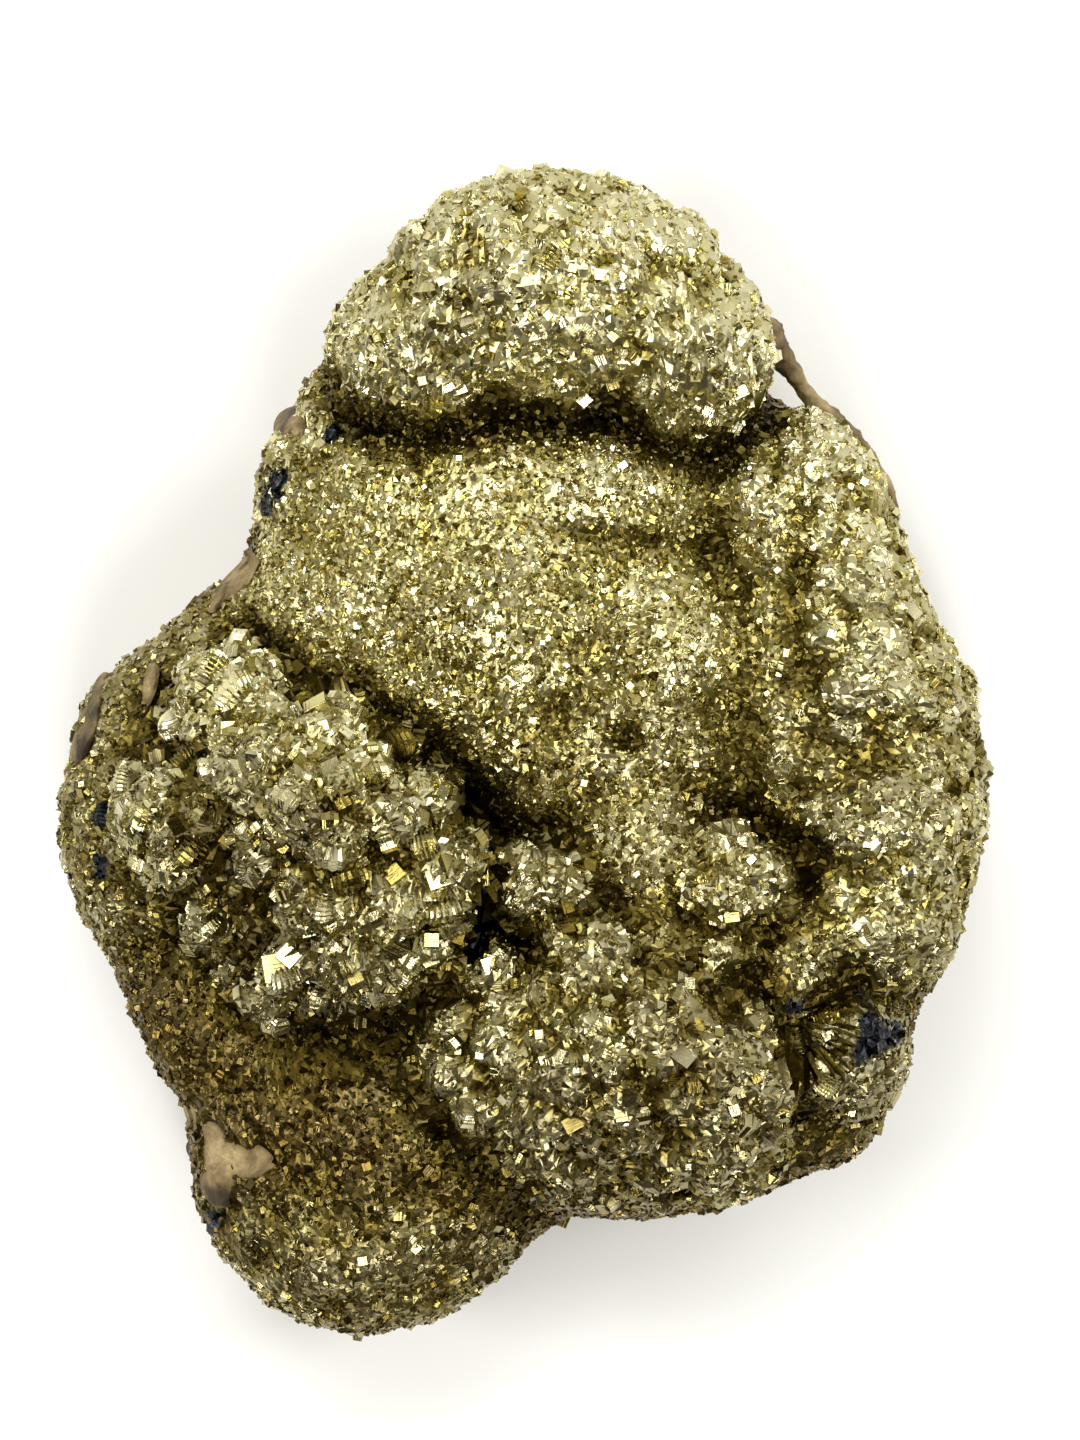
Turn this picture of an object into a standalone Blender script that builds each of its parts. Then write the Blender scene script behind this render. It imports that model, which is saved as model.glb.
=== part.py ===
"""A hand specimen of botryoidal pyrite: a crust of rounded, drusy mounds grown on tan matrix rock.

The specimen lies on its back. +Z is up, +Y runs to its narrow end and +X to its right side, seen
from above. The origin is on the resting plane, under the middle of the specimen.
"""

import math
import random

import bmesh
import bpy
from mathutils import Euler, Matrix, Vector

MM = 0.001

# Driving dimensions: the specimen is 53 mm wide, 66 mm long and about 27 mm thick.
MIDDLE = Vector((0.054, -0.152, 0)) * MM  # puts the middle of the whole specimen on the origin
SHELF_FOOT = 4.6 * MM  # how far down the crust reaches around the rim
SHELF_TOP = 12.0 * MM  # top of the thin crust that joins the mounds
SHELF_ROUND = 2.6 * MM  # rounding of the crust's rim
KNOB_RISE = 0.5  # how far a knob stands out, as a share of its radius

ROCK_PLATE = (2.6 * MM, 9.4 * MM, 2.8 * MM)  # foot, top and rounding of the rock under the crust
ROCK_BASE = (-1.2 * MM, 5.4 * MM, 1.6 * MM)  # foot, top and rounding of the rock it lies on
ROCK_BASE_INSET = 2.6 * MM
LUMP_FOOT = 5.0  # a lump that shows through the crust starts inside the plate, in mm
PARTING_GAP = 0.3 * MM  # clear space between rock and crust

CRUST_VOXEL = 0.55 * MM
CRUST_TRIANGLES_KEPT = 0.072
ROCK_VOXEL = 0.8 * MM
ROCK_TRIANGLES_KEPT = 0.055

# The crust's outline from above, clockwise from the narrow end, in mm.
CRUST_OUTLINE = (
    (1.2, 32.6), (5.2, 32.0), (10.0, 29.6), (12.9, 26.0), (13.8, 22.9), (13.7, 20.3),
    (15.4, 19.3), (17.6, 18.3), (20.6, 14.9), (21.6, 10.6), (22.4, 8.2), (25.0, 4.2),
    (26.3, -0.8), (25.9, -5.6), (24.4, -11.2), (22.5, -14.0), (21.2, -18.9), (19.2, -22.4),
    (14.8, -24.1), (11.2, -25.5), (6.6, -26.2), (3.0, -26.1), (-0.2, -28.2), (-4.4, -31.6),
    (-9.4, -32.8), (-13.4, -31.5), (-17.0, -28.2), (-18.3, -25.8), (-18.6, -20.0),
    (-20.4, -17.4), (-23.2, -12.2), (-25.4, -8.6), (-26.4, -4.6), (-25.6, 0.6), (-24.2, 3.8),
    (-20.6, 6.2), (-18.8, 8.6), (-16.6, 9.9), (-15.2, 13.0), (-14.9, 15.8), (-12.6, 20.0),
    (-9.8, 25.2), (-6.8, 28.6), (-3.2, 31.6),
)

# The rock's outline keeps inside the crust's, apart from where bare rock shows at the edge.
ROCK_OUTLINE = (
    (1.0, 29.5), (8.5, 27.5), (12.9, 25.4), (15.5, 23.4), (17.1, 21.0), (18.6, 18.9),
    (19.6, 15.6), (20.0, 10.0), (22.4, 4.0), (23.8, -1.0), (23.2, -7.0), (20.8, -14.0),
    (18.2, -20.6), (10.0, -23.4), (1.0, -24.6), (-4.0, -29.0), (-10.0, -30.4), (-15.6, -27.4),
    (-18.7, -24.2), (-18.8, -20.4), (-19.8, -15.0), (-22.8, -8.0), (-24.0, -1.0),
    (-24.0, 2.8), (-20.6, 6.4), (-17.2, 10.2), (-15.2, 12.2), (-14.4, 17.2), (-12.0, 20.2),
    (-8.0, 25.0),
)

# Every mound: name, centre x and y, height of its crest, radii along its own x and y and up,
# turn in degrees, radius of the knobs on it, how many there are, and 1 where they carry large
# crystals. All lengths are in mm.
MOUNDS = (
    ("head", 1.6, 25.6, 25.2, 10.2, 7.0, 8.8, 0, 1.8, 34, 0),
    ("head_left", -5.0, 22.8, 23.4, 6.0, 5.2, 7.4, 0, 1.6, 13, 0),
    ("head_right", 9.2, 22.4, 23.4, 5.0, 5.4, 7.4, 0, 1.6, 13, 0),
    ("middle_upper", -0.4, 14.4, 19.6, 13.6, 5.4, 6.8, 0, 0, 0, 0),
    ("middle", -3.2, 8.0, 20.6, 12.0, 10.0, 8.8, 0, 0, 0, 0),
    ("middle_right", 7.4, 5.0, 19.6, 6.8, 8.4, 7.6, 0, 0, 0, 0),
    ("middle_foot", 5.6, -1.2, 18.6, 8.6, 4.6, 6.6, 0, 0, 0, 0),
    ("middle_apron", 6.6, -6.4, 20.6, 5.4, 5.0, 7.0, 0, 0, 0, 0),
    ("left", -11.1, -3.5, 26.2, 9.2, 7.0, 11.0, -34, 2.1, 30, 1),
    ("left_low", -9.3, -9.2, 24.8, 6.8, 5.8, 9.6, 0, 2.0, 20, 1),
    ("left_outer", -18.6, -3.4, 21.8, 5.0, 5.0, 8.8, 0, 1.8, 16, 1),
    ("left_upper", -16.0, 2.2, 22.8, 4.5, 4.1, 8.8, 0, 1.7, 9, 1),
    ("left_toe", -13.0, -12.4, 22.0, 4.0, 3.2, 7.8, 0, 1.7, 7, 1),
    ("left_inner", -5.4, -6.6, 23.6, 3.9, 4.6, 8.6, 0, 1.7, 8, 1),
    ("left_flank", -16.2, -8.8, 19.4, 3.8, 4.2, 7.0, 0, 1.5, 7, 0),
    ("left_rim", -20.6, -2.8, 15.4, 5.8, 10.6, 6.5, 0, 0, 0, 0),
    ("left_shelf", -17.9, 4.4, 14.6, 3.8, 3.8, 5.0, 0, 0, 0, 0),
    ("left_saddle", -14.6, 7.6, 14.0, 3.6, 3.2, 5.0, 0, 0, 0, 0),
    ("right_body", 18.9, -1.0, 19.4, 6.4, 11.5, 8.0, 0, 0, 0, 0),
    ("right_top", 16.6, 15.4, 19.4, 3.6, 4.2, 7.0, 0, 1.6, 10, 0),
    ("right_neck", 17.6, 10.6, 20.2, 3.9, 4.6, 7.6, 0, 1.6, 12, 0),
    ("right_mid", 18.5, 7.2, 20.6, 4.8, 4.6, 7.8, 0, 1.6, 9, 0),
    ("right_shoulder", 19.6, 3.2, 21.6, 5.4, 5.2, 9.0, 0, 1.7, 15, 0),
    ("right_belly", 20.0, -3.6, 21.8, 5.8, 5.6, 9.0, 0, 1.7, 17, 0),
    ("right_low", 19.2, -9.3, 20.4, 5.4, 4.6, 8.2, 0, 1.7, 13, 0),
    ("right_valley", 14.2, 4.4, 18.8, 4.0, 10.4, 7.0, 0, 0, 0, 0),
    ("right_saddle", 13.6, 13.4, 19.0, 4.0, 5.6, 7.0, 0, 0, 0, 0),
    ("right_gap", 15.2, -11.4, 19.0, 3.6, 5.6, 7.0, 0, 0, 0, 0),
    ("bud", 1.2, -7.3, 22.6, 3.5, 3.2, 7.0, 0, 1.4, 9, 0),
    ("bud_right", 11.7, -7.3, 22.0, 4.3, 3.9, 7.2, 0, 1.5, 12, 0),
    ("lower_neck", 2.8, -9.8, 21.4, 2.8, 2.4, 6.4, 0, 0, 0, 0),
    ("lower_bridge", 8.8, -10.9, 21.2, 6.4, 3.6, 7.4, 0, 0, 0, 0),
    ("lower", 5.4, -17.4, 24.4, 9.0, 7.8, 10.0, 0, 1.8, 26, 1),
    ("lower_top", 4.6, -11.8, 22.8, 4.3, 3.8, 7.8, 0, 1.6, 11, 1),
    ("lower_right", 10.8, -18.2, 22.8, 4.6, 6.8, 9.4, 0, 1.6, 13, 1),
    ("lower_left", -0.6, -16.8, 20.6, 8.6, 6.8, 7.6, -45, 1.5, 8, 0),
    ("lower_foot", 6.8, -22.6, 17.6, 9.0, 3.6, 6.6, 0, 0, 0, 0),
    ("corner", 17.8, -16.4, 19.2, 4.0, 5.0, 7.4, 0, 1.4, 10, 0),
    ("corner_foot", 15.8, -21.2, 15.4, 4.9, 3.0, 5.4, 0, 0, 0, 0),
    ("slope", -11.2, -18.2, 16.8, 10.6, 9.4, 7.0, 0, 0, 0, 0),
    ("slope_side", -17.8, -13.2, 15.0, 5.6, 5.2, 5.6, 0, 0, 0, 0),
    ("slope_middle", -6.8, -22.4, 16.6, 9.2, 5.8, 6.4, 0, 0, 0, 0),
    ("foot", -8.7, -27.3, 16.4, 8.6, 5.55, 6.8, 0, 0, 0, 0),
    ("foot_edge", -15.2, -24.8, 14.2, 3.2, 4.4, 4.8, 0, 0, 0, 0),
    ("neck_left", -11.2, 17.1, 15.6, 3.6, 3.6, 5.4, 0, 0, 0, 0),
    ("neck_left_low", -12.4, 13.2, 14.6, 2.6, 4.0, 4.9, 0, 0, 0, 0),
)

# Where bare rock stands up through the crust: x, y, height, radius along x and y, turn. In mm.
ROCK_PATCHES = (
    (-16.6, -23.0, 16.4, 2.8, 3.0, 20),
    (-24.0, 1.8, 13.6, 1.0, 2.9, -18),
    (-20.8, 4.3, 16.0, 0.9, 2.0, -8),
    (-16.6, 9.6, 14.6, 1.2, 1.8, -42),
    (-13.6, 18.0, 13.6, 1.2, 1.6, -32),
    (15.6, 22.3, 11.2, 0.9, 2.4, 36),
)

# The eyelet: a small natural hole through the thin edge beside the head.
EYELET = Vector((14.8, 20.8, 0)) * MM
EYELET_RADIUS = 0.85 * MM

# The deepest gaps between mounds: x, y, depth of the floor, radii along x and y. In mm.
PITS = (
    (-2.5, -10.0, 12.6, 0.7, 1.8),
    (5.4, 0.7, 16.6, 1.1, 0.8),
    (14.8, -14.2, 12.4, 0.6, 1.0),
)

CRYSTAL_EDGE = 1.5 * MM
CRYSTAL_SPACING = 2.7 * MM
CRYSTAL_SEAT = 0.7  # how far out on its knob a crystal's middle is, as a share of the radius

PYRITE_COLOUR = (0.42, 0.37, 0.15, 1.0)
ROCK_COLOUR = (0.52, 0.40, 0.27, 1.0)


def clear_scene():
    for obj in list(bpy.data.objects):
        bpy.data.objects.remove(obj)


def new_collection(name, hidden=False):
    collection = bpy.data.collections.new(name)
    bpy.context.scene.collection.children.link(collection)
    collection.hide_render = hidden
    return collection


def new_material(name, colour, metallic, roughness):
    material = bpy.data.materials.new(name)
    material.use_nodes = True
    shader = material.node_tree.nodes["Principled BSDF"]
    shader.inputs["Base Color"].default_value = colour
    shader.inputs["Metallic"].default_value = metallic
    shader.inputs["Roughness"].default_value = roughness
    return material


def link_shape(name, shape, collection, helper=False):
    """Turns a bmesh into an object. A helper is only there to cut or to join."""
    mesh = bpy.data.meshes.new(name)
    shape.to_mesh(mesh)
    shape.free()
    obj = bpy.data.objects.new(name, mesh)
    collection.objects.link(obj)
    if helper:
        obj.hide_render = True
        obj.display_type = "WIRE"
    return obj


def add_slab(shape, outline, low, high, rounding, inset=0.0):
    """A plate with a rounded rim: the outline as a smooth closed curve, extruded and bevelled."""
    curve = bpy.data.curves.new("outline", "CURVE")
    curve.dimensions = "2D"
    curve.fill_mode = "BOTH"
    curve.resolution_u = 4
    curve.bevel_resolution = 3
    curve.bevel_depth = rounding
    curve.offset = -rounding - inset
    curve.extrude = (high - low) / 2 - rounding
    spline = curve.splines.new("BEZIER")
    spline.bezier_points.add(len(outline) - 1)
    for point, (x, y) in zip(spline.bezier_points, outline):
        point.co = (x * MM, y * MM, 0)
        point.handle_left_type = "AUTO"
        point.handle_right_type = "AUTO"
    spline.use_cyclic_u = True
    drawn = bpy.data.objects.new("outline", curve)
    bpy.context.scene.collection.objects.link(drawn)
    bpy.context.view_layer.update()
    graph = bpy.context.evaluated_depsgraph_get()
    mesh = bpy.data.meshes.new_from_object(drawn.evaluated_get(graph))
    mesh.transform(Matrix.Translation((0, 0, (low + high) / 2)))
    shape.from_mesh(mesh)
    bpy.data.objects.remove(drawn)
    bmesh.ops.remove_doubles(shape, verts=shape.verts, dist=0.01 * MM)
    bmesh.ops.recalc_face_normals(shape, faces=shape.faces)


def ellipsoid_frame(x, y, crest, along, across, up, turn):
    """Places a unit sphere as an ellipsoid whose top is at the crest height. Lengths in mm."""
    centre = Matrix.Translation(Vector((x, y, crest - up)) * MM)
    turned = Matrix.Rotation(math.radians(turn), 4, "Z")
    return centre @ turned @ Matrix.Diagonal((along * MM, across * MM, up * MM, 1.0))


def knobs_of(mound, chance):
    """Knobs spread over a mound's upper side by the golden angle, each a little out of line."""
    _, x, y, crest, along, across, up, turn, radius, count, _ = mound
    golden_turn = math.pi * (3 - math.sqrt(5))
    lowest = -0.15  # knobs reach a little below the mound's widest line
    frame = ellipsoid_frame(x, y, crest, along, across, up, turn)
    for index in range(count):
        rise = 1 - (1 - lowest) * (index + 0.5) / count + chance.uniform(-0.03, 0.03)
        rise = min(rise, 0.985)
        around = golden_turn * index + chance.uniform(-0.25, 0.25)
        level = math.sqrt(1 - rise * rise)
        on_sphere = Vector((level * math.cos(around), level * math.sin(around), rise))
        surface = frame @ on_sphere
        outward = (frame.inverted().transposed().to_3x3() @ on_sphere).normalized()
        size = radius * chance.uniform(0.95, 1.3) * MM
        yield surface + outward * size * (KNOB_RISE - 1), outward, size


def pyrite_body(collection):
    """Shelf and mounds as overlapping closed shapes, fused and with their creases softened."""
    shape = bmesh.new()
    add_slab(shape, CRUST_OUTLINE, SHELF_FOOT, SHELF_TOP, SHELF_ROUND)
    for mound in MOUNDS:
        bmesh.ops.create_uvsphere(
            shape, u_segments=32, v_segments=20, radius=1.0, matrix=ellipsoid_frame(*mound[1:8])
        )
    body = link_shape("pyrite_body", shape, collection)
    add_remesh(body, CRUST_VOXEL)
    add_smooth(body, 4)
    add_relief(body, 2.6 * MM, 0.6 * MM)
    bpy.context.view_layer.update()
    graph = bpy.context.evaluated_depsgraph_get()
    mesh = bpy.data.meshes.new_from_object(body.evaluated_get(graph))
    bpy.data.objects.remove(body)
    return mesh


def pyrite_mass(collection):
    """The body with its knobs, and the seats of the large crystals with the way they point."""
    chance = random.Random(7)
    shape = bmesh.new()
    shape.from_mesh(pyrite_body(collection))
    seats = []
    for mound in MOUNDS:
        for place, outward, size in knobs_of(mound, chance):
            turned = Euler([chance.uniform(0, math.tau) for _ in range(3)]).to_matrix().to_4x4()
            bmesh.ops.create_icosphere(
                shape, subdivisions=2, radius=size, matrix=Matrix.Translation(place) @ turned
            )
            if mound[-1]:
                seats.append((place + outward * size * CRYSTAL_SEAT, outward))
    return link_shape("pyrite_crust", shape, collection), seats


def large_crystals(seats, collection):
    """Cubes set in the knobs' tops, clear of each other, each with a corner that points out."""
    chance = random.Random(11)
    shape = bmesh.new()
    corner = Vector((1, 1, 1))
    taken = []
    for seat, outward in seats:
        if any((seat - other).length < CRYSTAL_SPACING for other in taken):
            continue
        taken.append(seat)
        wobble = Vector([chance.uniform(-0.35, 0.35) for _ in range(3)])
        pointing = corner.rotation_difference(outward + wobble).to_matrix().to_4x4()
        spin = Matrix.Rotation(chance.uniform(0, math.tau), 4, outward)
        edge = CRYSTAL_EDGE * chance.uniform(0.8, 1.15)
        frame = Matrix.Translation(seat) @ spin @ pointing
        bmesh.ops.create_cube(shape, size=edge, matrix=frame)
    return link_shape("large_crystals", shape, collection, helper=True)


def rock_mass(name, collection, helper=False):
    """The plate under the crust, the base it lies on and the lumps that show through."""
    shape = bmesh.new()
    add_slab(shape, ROCK_OUTLINE, *ROCK_PLATE)
    add_slab(shape, ROCK_OUTLINE, *ROCK_BASE, inset=ROCK_BASE_INSET)
    for x, y, top, along, across, turn in ROCK_PATCHES:
        up = (top - LUMP_FOOT) / 2
        frame = ellipsoid_frame(x, y, top, along, across, up, turn)
        bmesh.ops.create_uvsphere(shape, u_segments=16, v_segments=12, radius=1.0, matrix=frame)
    return link_shape(name, shape, collection, helper)


def add_remesh(obj, voxel):
    fuse = obj.modifiers.new("fuse", "REMESH")
    fuse.mode = "VOXEL"
    fuse.voxel_size = voxel


def add_smooth(obj, rounds):
    soft = obj.modifiers.new("soften_creases", "SMOOTH")
    soft.factor = 0.5
    soft.iterations = rounds


def add_relief(obj, scale, strength):
    """Moves the surface in and out by a procedural texture that is fixed in space."""
    texture = bpy.data.textures.new(obj.name + "_relief", "CLOUDS")
    texture.noise_scale = scale
    relief = obj.modifiers.new("relief", "DISPLACE")
    relief.texture = texture
    relief.texture_coords = "LOCAL"
    relief.strength = strength
    relief.mid_level = 0.5


def add_swell(obj, distance):
    swell = obj.modifiers.new("swell", "DISPLACE")
    swell.strength = distance
    swell.mid_level = 0.0


def add_decimate(obj, ratio):
    thin = obj.modifiers.new("thin_out", "DECIMATE")
    thin.ratio = ratio
    thin.use_collapse_triangulate = True


def add_boolean(obj, tool, operation):
    cut = obj.modifiers.new(operation.lower() + "_" + tool.name, "BOOLEAN")
    cut.operation = operation
    cut.object = tool
    cut.solver = "EXACT"


def shape_rock(obj):
    add_remesh(obj, ROCK_VOXEL)
    add_smooth(obj, 3)
    add_relief(obj, 4.0 * MM, 1.3 * MM)
    add_decimate(obj, ROCK_TRIANGLES_KEPT)


def eyelet_cutter(name, radius, collection):
    shape = bmesh.new()
    bmesh.ops.create_cone(
        shape,
        cap_ends=True,
        segments=12,
        radius1=radius,
        radius2=radius,
        depth=60 * MM,
        matrix=Matrix.Translation(EYELET) @ Matrix.Rotation(math.radians(6), 4, "X"),
    )
    return link_shape(name, shape, collection, helper=True)


def pits_cutter(collection):
    """Tall ellipsoids that open the deepest gaps between mounds."""
    shape = bmesh.new()
    tall = 12.0
    for x, y, floor, across, along in PITS:
        frame = ellipsoid_frame(x, y, floor + 2 * tall, across, along, tall, 0)
        bmesh.ops.create_uvsphere(shape, u_segments=12, v_segments=10, radius=1.0, matrix=frame)
    return link_shape("pits", shape, collection, helper=True)


def floor_cutter(collection):
    """A box whose top is the resting plane."""
    wide = 90 * MM
    deep = 20 * MM
    shape = bmesh.new()
    box = Matrix.Translation((0, 0, -deep / 2)) @ Matrix.Diagonal((wide, wide, deep, 1.0))
    bmesh.ops.create_cube(shape, size=1.0, matrix=box)
    return link_shape("resting_plane", shape, collection, helper=True)


def make_crust(parts, cutters):
    crust, seats = pyrite_mass(parts)
    crust.data.materials.append(new_material("pyrite", PYRITE_COLOUR, 1.0, 0.32))
    add_remesh(crust, CRUST_VOXEL)
    add_decimate(crust, CRUST_TRIANGLES_KEPT)
    add_boolean(crust, large_crystals(seats, cutters), "UNION")
    add_boolean(crust, pits_cutter(cutters), "DIFFERENCE")
    rock_room = rock_mass("rock_room", cutters, helper=True)
    shape_rock(rock_room)
    add_swell(rock_room, PARTING_GAP)
    add_boolean(crust, rock_room, "DIFFERENCE")
    add_boolean(crust, eyelet_cutter("eyelet_in_crust", EYELET_RADIUS * 1.1, cutters), "DIFFERENCE")
    return crust


def make_rock(parts, cutters):
    rock = rock_mass("matrix_rock", parts)
    rock.data.materials.append(new_material("matrix", ROCK_COLOUR, 0.0, 0.85))
    shape_rock(rock)
    add_boolean(rock, floor_cutter(cutters), "DIFFERENCE")
    add_boolean(rock, eyelet_cutter("eyelet", EYELET_RADIUS, cutters), "DIFFERENCE")
    return rock


def main():
    clear_scene()
    parts = new_collection("pyrite_specimen")
    cutters = new_collection("cutters", hidden=True)
    make_crust(parts, cutters)
    make_rock(parts, cutters)
    middle = bpy.data.objects.new("specimen", None)
    bpy.context.scene.collection.objects.link(middle)
    middle.location = MIDDLE
    for obj in list(parts.objects) + list(cutters.objects):
        obj.parent = middle


main()
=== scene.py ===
# %% [markdown]
# # A specimen of botryoidal pyrite
# The specimen is a crust of iron sulphide that grew in rounded mounds on a piece of tan rock. Its
# skin is a druse: thousands of small crystals whose flat faces mirror the light one by one. This
# file loads the fixed model, then works out each surface with numpy and gives it its finish.

# %% Load the fixed model
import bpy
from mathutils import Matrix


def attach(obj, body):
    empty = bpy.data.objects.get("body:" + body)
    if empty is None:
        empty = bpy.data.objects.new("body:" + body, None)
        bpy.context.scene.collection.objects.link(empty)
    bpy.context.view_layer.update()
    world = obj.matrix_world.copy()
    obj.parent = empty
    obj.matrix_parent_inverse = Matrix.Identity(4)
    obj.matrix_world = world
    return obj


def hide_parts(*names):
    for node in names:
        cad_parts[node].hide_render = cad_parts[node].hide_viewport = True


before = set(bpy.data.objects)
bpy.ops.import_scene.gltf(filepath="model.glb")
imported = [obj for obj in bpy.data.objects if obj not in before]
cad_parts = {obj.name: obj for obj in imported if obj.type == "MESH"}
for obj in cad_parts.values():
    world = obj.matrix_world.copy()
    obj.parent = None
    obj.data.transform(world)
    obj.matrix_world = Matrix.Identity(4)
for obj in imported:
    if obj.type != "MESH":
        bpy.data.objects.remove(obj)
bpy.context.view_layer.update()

# %% Other imports and the unit
import math

import bpy
import numpy as np

MM = 0.001
MIDDLE = np.array([0.054, -0.152, 0.0])  # the model is centred with this small shift, in mm

# %% [markdown]
# ## The form: mounds, knobs and a rim
# Botryoidal pyrite grows outwards from many points at once, so its form is a set of overlapping
# ellipsoids. The fixed model is made from the same list, and the surface here follows it closely, so
# that the fine skin lies on the same mounds. Knobs sit on the mounds like the grains of a raspberry.

# %% The mounds
# Name, centre x and y, crest height, radii along x, y and up, turn in degrees. Lengths are in mm.
MOUNDS = (
    ("head", 1.6, 25.6, 25.2, 10.2, 7.0, 8.8, 0),
    ("head_left", -5.0, 22.8, 23.4, 6.0, 5.2, 7.4, 0),
    ("head_right", 9.2, 22.4, 23.4, 5.0, 5.4, 7.4, 0),
    ("middle_upper", -0.4, 14.4, 19.6, 13.6, 5.4, 6.8, 0),
    ("middle", -3.2, 8.0, 20.6, 12.0, 10.0, 8.8, 0),
    ("middle_right", 7.4, 5.0, 19.6, 6.8, 8.4, 7.6, 0),
    ("middle_foot", 5.6, -1.2, 18.6, 8.6, 4.6, 6.6, 0),
    ("middle_apron", 6.6, -6.4, 20.6, 5.4, 5.0, 7.0, 0),
    ("left", -11.1, -3.5, 26.2, 9.2, 7.0, 11.0, -34),
    ("left_low", -9.3, -9.2, 24.8, 6.8, 5.8, 9.6, 0),
    ("left_outer", -18.6, -3.4, 21.8, 5.0, 5.0, 8.8, 0),
    ("left_upper", -16.0, 2.2, 22.8, 4.5, 4.1, 8.8, 0),
    ("left_toe", -13.0, -12.4, 22.0, 4.0, 3.2, 7.8, 0),
    ("left_inner", -5.4, -6.6, 23.6, 3.9, 4.6, 8.6, 0),
    ("left_flank", -16.2, -8.8, 19.4, 3.8, 4.2, 7.0, 0),
    ("left_rim", -20.6, -2.8, 15.4, 5.8, 10.6, 6.5, 0),
    ("left_shelf", -17.9, 4.4, 14.6, 3.8, 3.8, 5.0, 0),
    ("left_saddle", -14.6, 7.6, 14.0, 3.6, 3.2, 5.0, 0),
    ("right_body", 18.9, -1.0, 19.4, 6.4, 11.5, 8.0, 0),
    ("right_top", 16.6, 15.4, 19.4, 3.6, 4.2, 7.0, 0),
    ("right_neck", 17.6, 10.6, 20.2, 3.9, 4.6, 7.6, 0),
    ("right_mid", 18.5, 7.2, 20.6, 4.8, 4.6, 7.8, 0),
    ("right_shoulder", 19.6, 3.2, 21.6, 5.4, 5.2, 9.0, 0),
    ("right_belly", 20.0, -3.6, 21.8, 5.8, 5.6, 9.0, 0),
    ("right_low", 19.2, -9.3, 20.4, 5.4, 4.6, 8.2, 0),
    ("right_valley", 14.2, 4.4, 18.8, 4.0, 10.4, 7.0, 0),
    ("right_saddle", 13.6, 13.4, 19.0, 4.0, 5.6, 7.0, 0),
    ("right_gap", 15.2, -11.4, 19.0, 3.6, 5.6, 7.0, 0),
    ("bud", 1.2, -7.3, 22.6, 3.5, 3.2, 7.0, 0),
    ("bud_right", 11.7, -7.3, 22.0, 4.3, 3.9, 7.2, 0),
    ("lower_neck", 2.8, -9.8, 21.4, 2.8, 2.4, 6.4, 0),
    ("lower_bridge", 8.8, -10.9, 21.2, 6.4, 3.6, 7.4, 0),
    ("lower", 5.4, -17.4, 24.4, 9.0, 7.8, 10.0, 0),
    ("lower_top", 4.6, -11.8, 22.8, 4.3, 3.8, 7.8, 0),
    ("lower_right", 10.8, -18.2, 22.8, 4.6, 6.8, 9.4, 0),
    ("lower_left", -0.6, -16.8, 20.6, 8.6, 6.8, 7.6, -45),
    ("lower_foot", 6.8, -22.6, 17.6, 9.0, 3.6, 6.6, 0),
    ("corner", 17.8, -16.4, 19.2, 4.0, 5.0, 7.4, 0),
    ("corner_foot", 15.8, -21.2, 15.4, 4.9, 3.0, 5.4, 0),
    ("slope", -11.2, -18.2, 16.8, 10.6, 9.4, 7.0, 0),
    ("slope_side", -17.8, -13.2, 15.0, 5.6, 5.2, 5.6, 0),
    ("slope_middle", -6.8, -22.4, 16.6, 9.2, 5.8, 6.4, 0),
    ("foot", -8.7, -27.3, 16.4, 8.6, 5.55, 6.8, 0),
    ("foot_edge", -15.2, -24.8, 14.2, 3.2, 4.4, 4.8, 0),
    ("neck_left", -11.2, 17.1, 15.6, 3.6, 3.6, 5.4, 0),
    ("neck_left_low", -12.4, 13.2, 14.6, 2.6, 4.0, 4.9, 0),
)

print(len(MOUNDS), "mounds")

# %% The crust's outline from above
# Clockwise from the narrow end, in mm, the same points as in the fixed model.
OUTLINE = np.array((
    (1.2, 32.6), (5.2, 32.0), (10.0, 29.6), (12.9, 26.0), (13.8, 22.9), (13.7, 20.3),
    (15.4, 19.3), (17.6, 18.3), (20.6, 14.9), (21.6, 10.6), (22.4, 8.2), (25.0, 4.2),
    (26.3, -0.8), (25.9, -5.6), (24.4, -11.2), (22.5, -14.0), (21.2, -18.9), (19.2, -22.4),
    (14.8, -24.1), (11.2, -25.5), (6.6, -26.2), (3.0, -26.1), (-0.2, -28.2), (-4.4, -31.6),
    (-9.4, -32.8), (-13.4, -31.5), (-17.0, -28.2), (-18.3, -25.8), (-18.6, -20.0),
    (-20.4, -17.4), (-23.2, -12.2), (-25.4, -8.6), (-26.4, -4.6), (-25.6, 0.6), (-24.2, 3.8),
    (-20.6, 6.2), (-18.8, 8.6), (-16.6, 9.9), (-15.2, 13.0), (-14.9, 15.8), (-12.6, 20.0),
    (-9.8, 25.2), (-6.8, 28.6), (-3.2, 31.6),
))


def outline_table(points, steps=1440, soften=9):
    """The outline as radius against angle: straight between its points, then a moving average."""
    closed = np.vstack([points, points[:1]])
    share = np.linspace(0, 1, 40, endpoint=False)[:, None]
    dense = (closed[:-1, None] * (1 - share) + closed[1:, None] * share).reshape(-1, 2)
    angle = np.arctan2(dense[:, 1], dense[:, 0])
    order = np.argsort(angle)
    wanted = np.linspace(-np.pi, np.pi, steps, endpoint=False)
    radius = np.interp(wanted, angle[order], np.hypot(*dense[order].T), period=math.tau)
    window = np.hanning(soften + 2)[1:-1]
    padded = np.concatenate([radius[-soften:], radius, radius[:soften]])
    smooth = np.convolve(padded, window / window.sum(), "same")[soften:-soften]
    return wanted, smooth


def outline_radius(angle, table):
    """The radius at an angle, read between the two nearest rows of the table."""
    return np.interp(angle, *table, period=math.tau)


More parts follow.
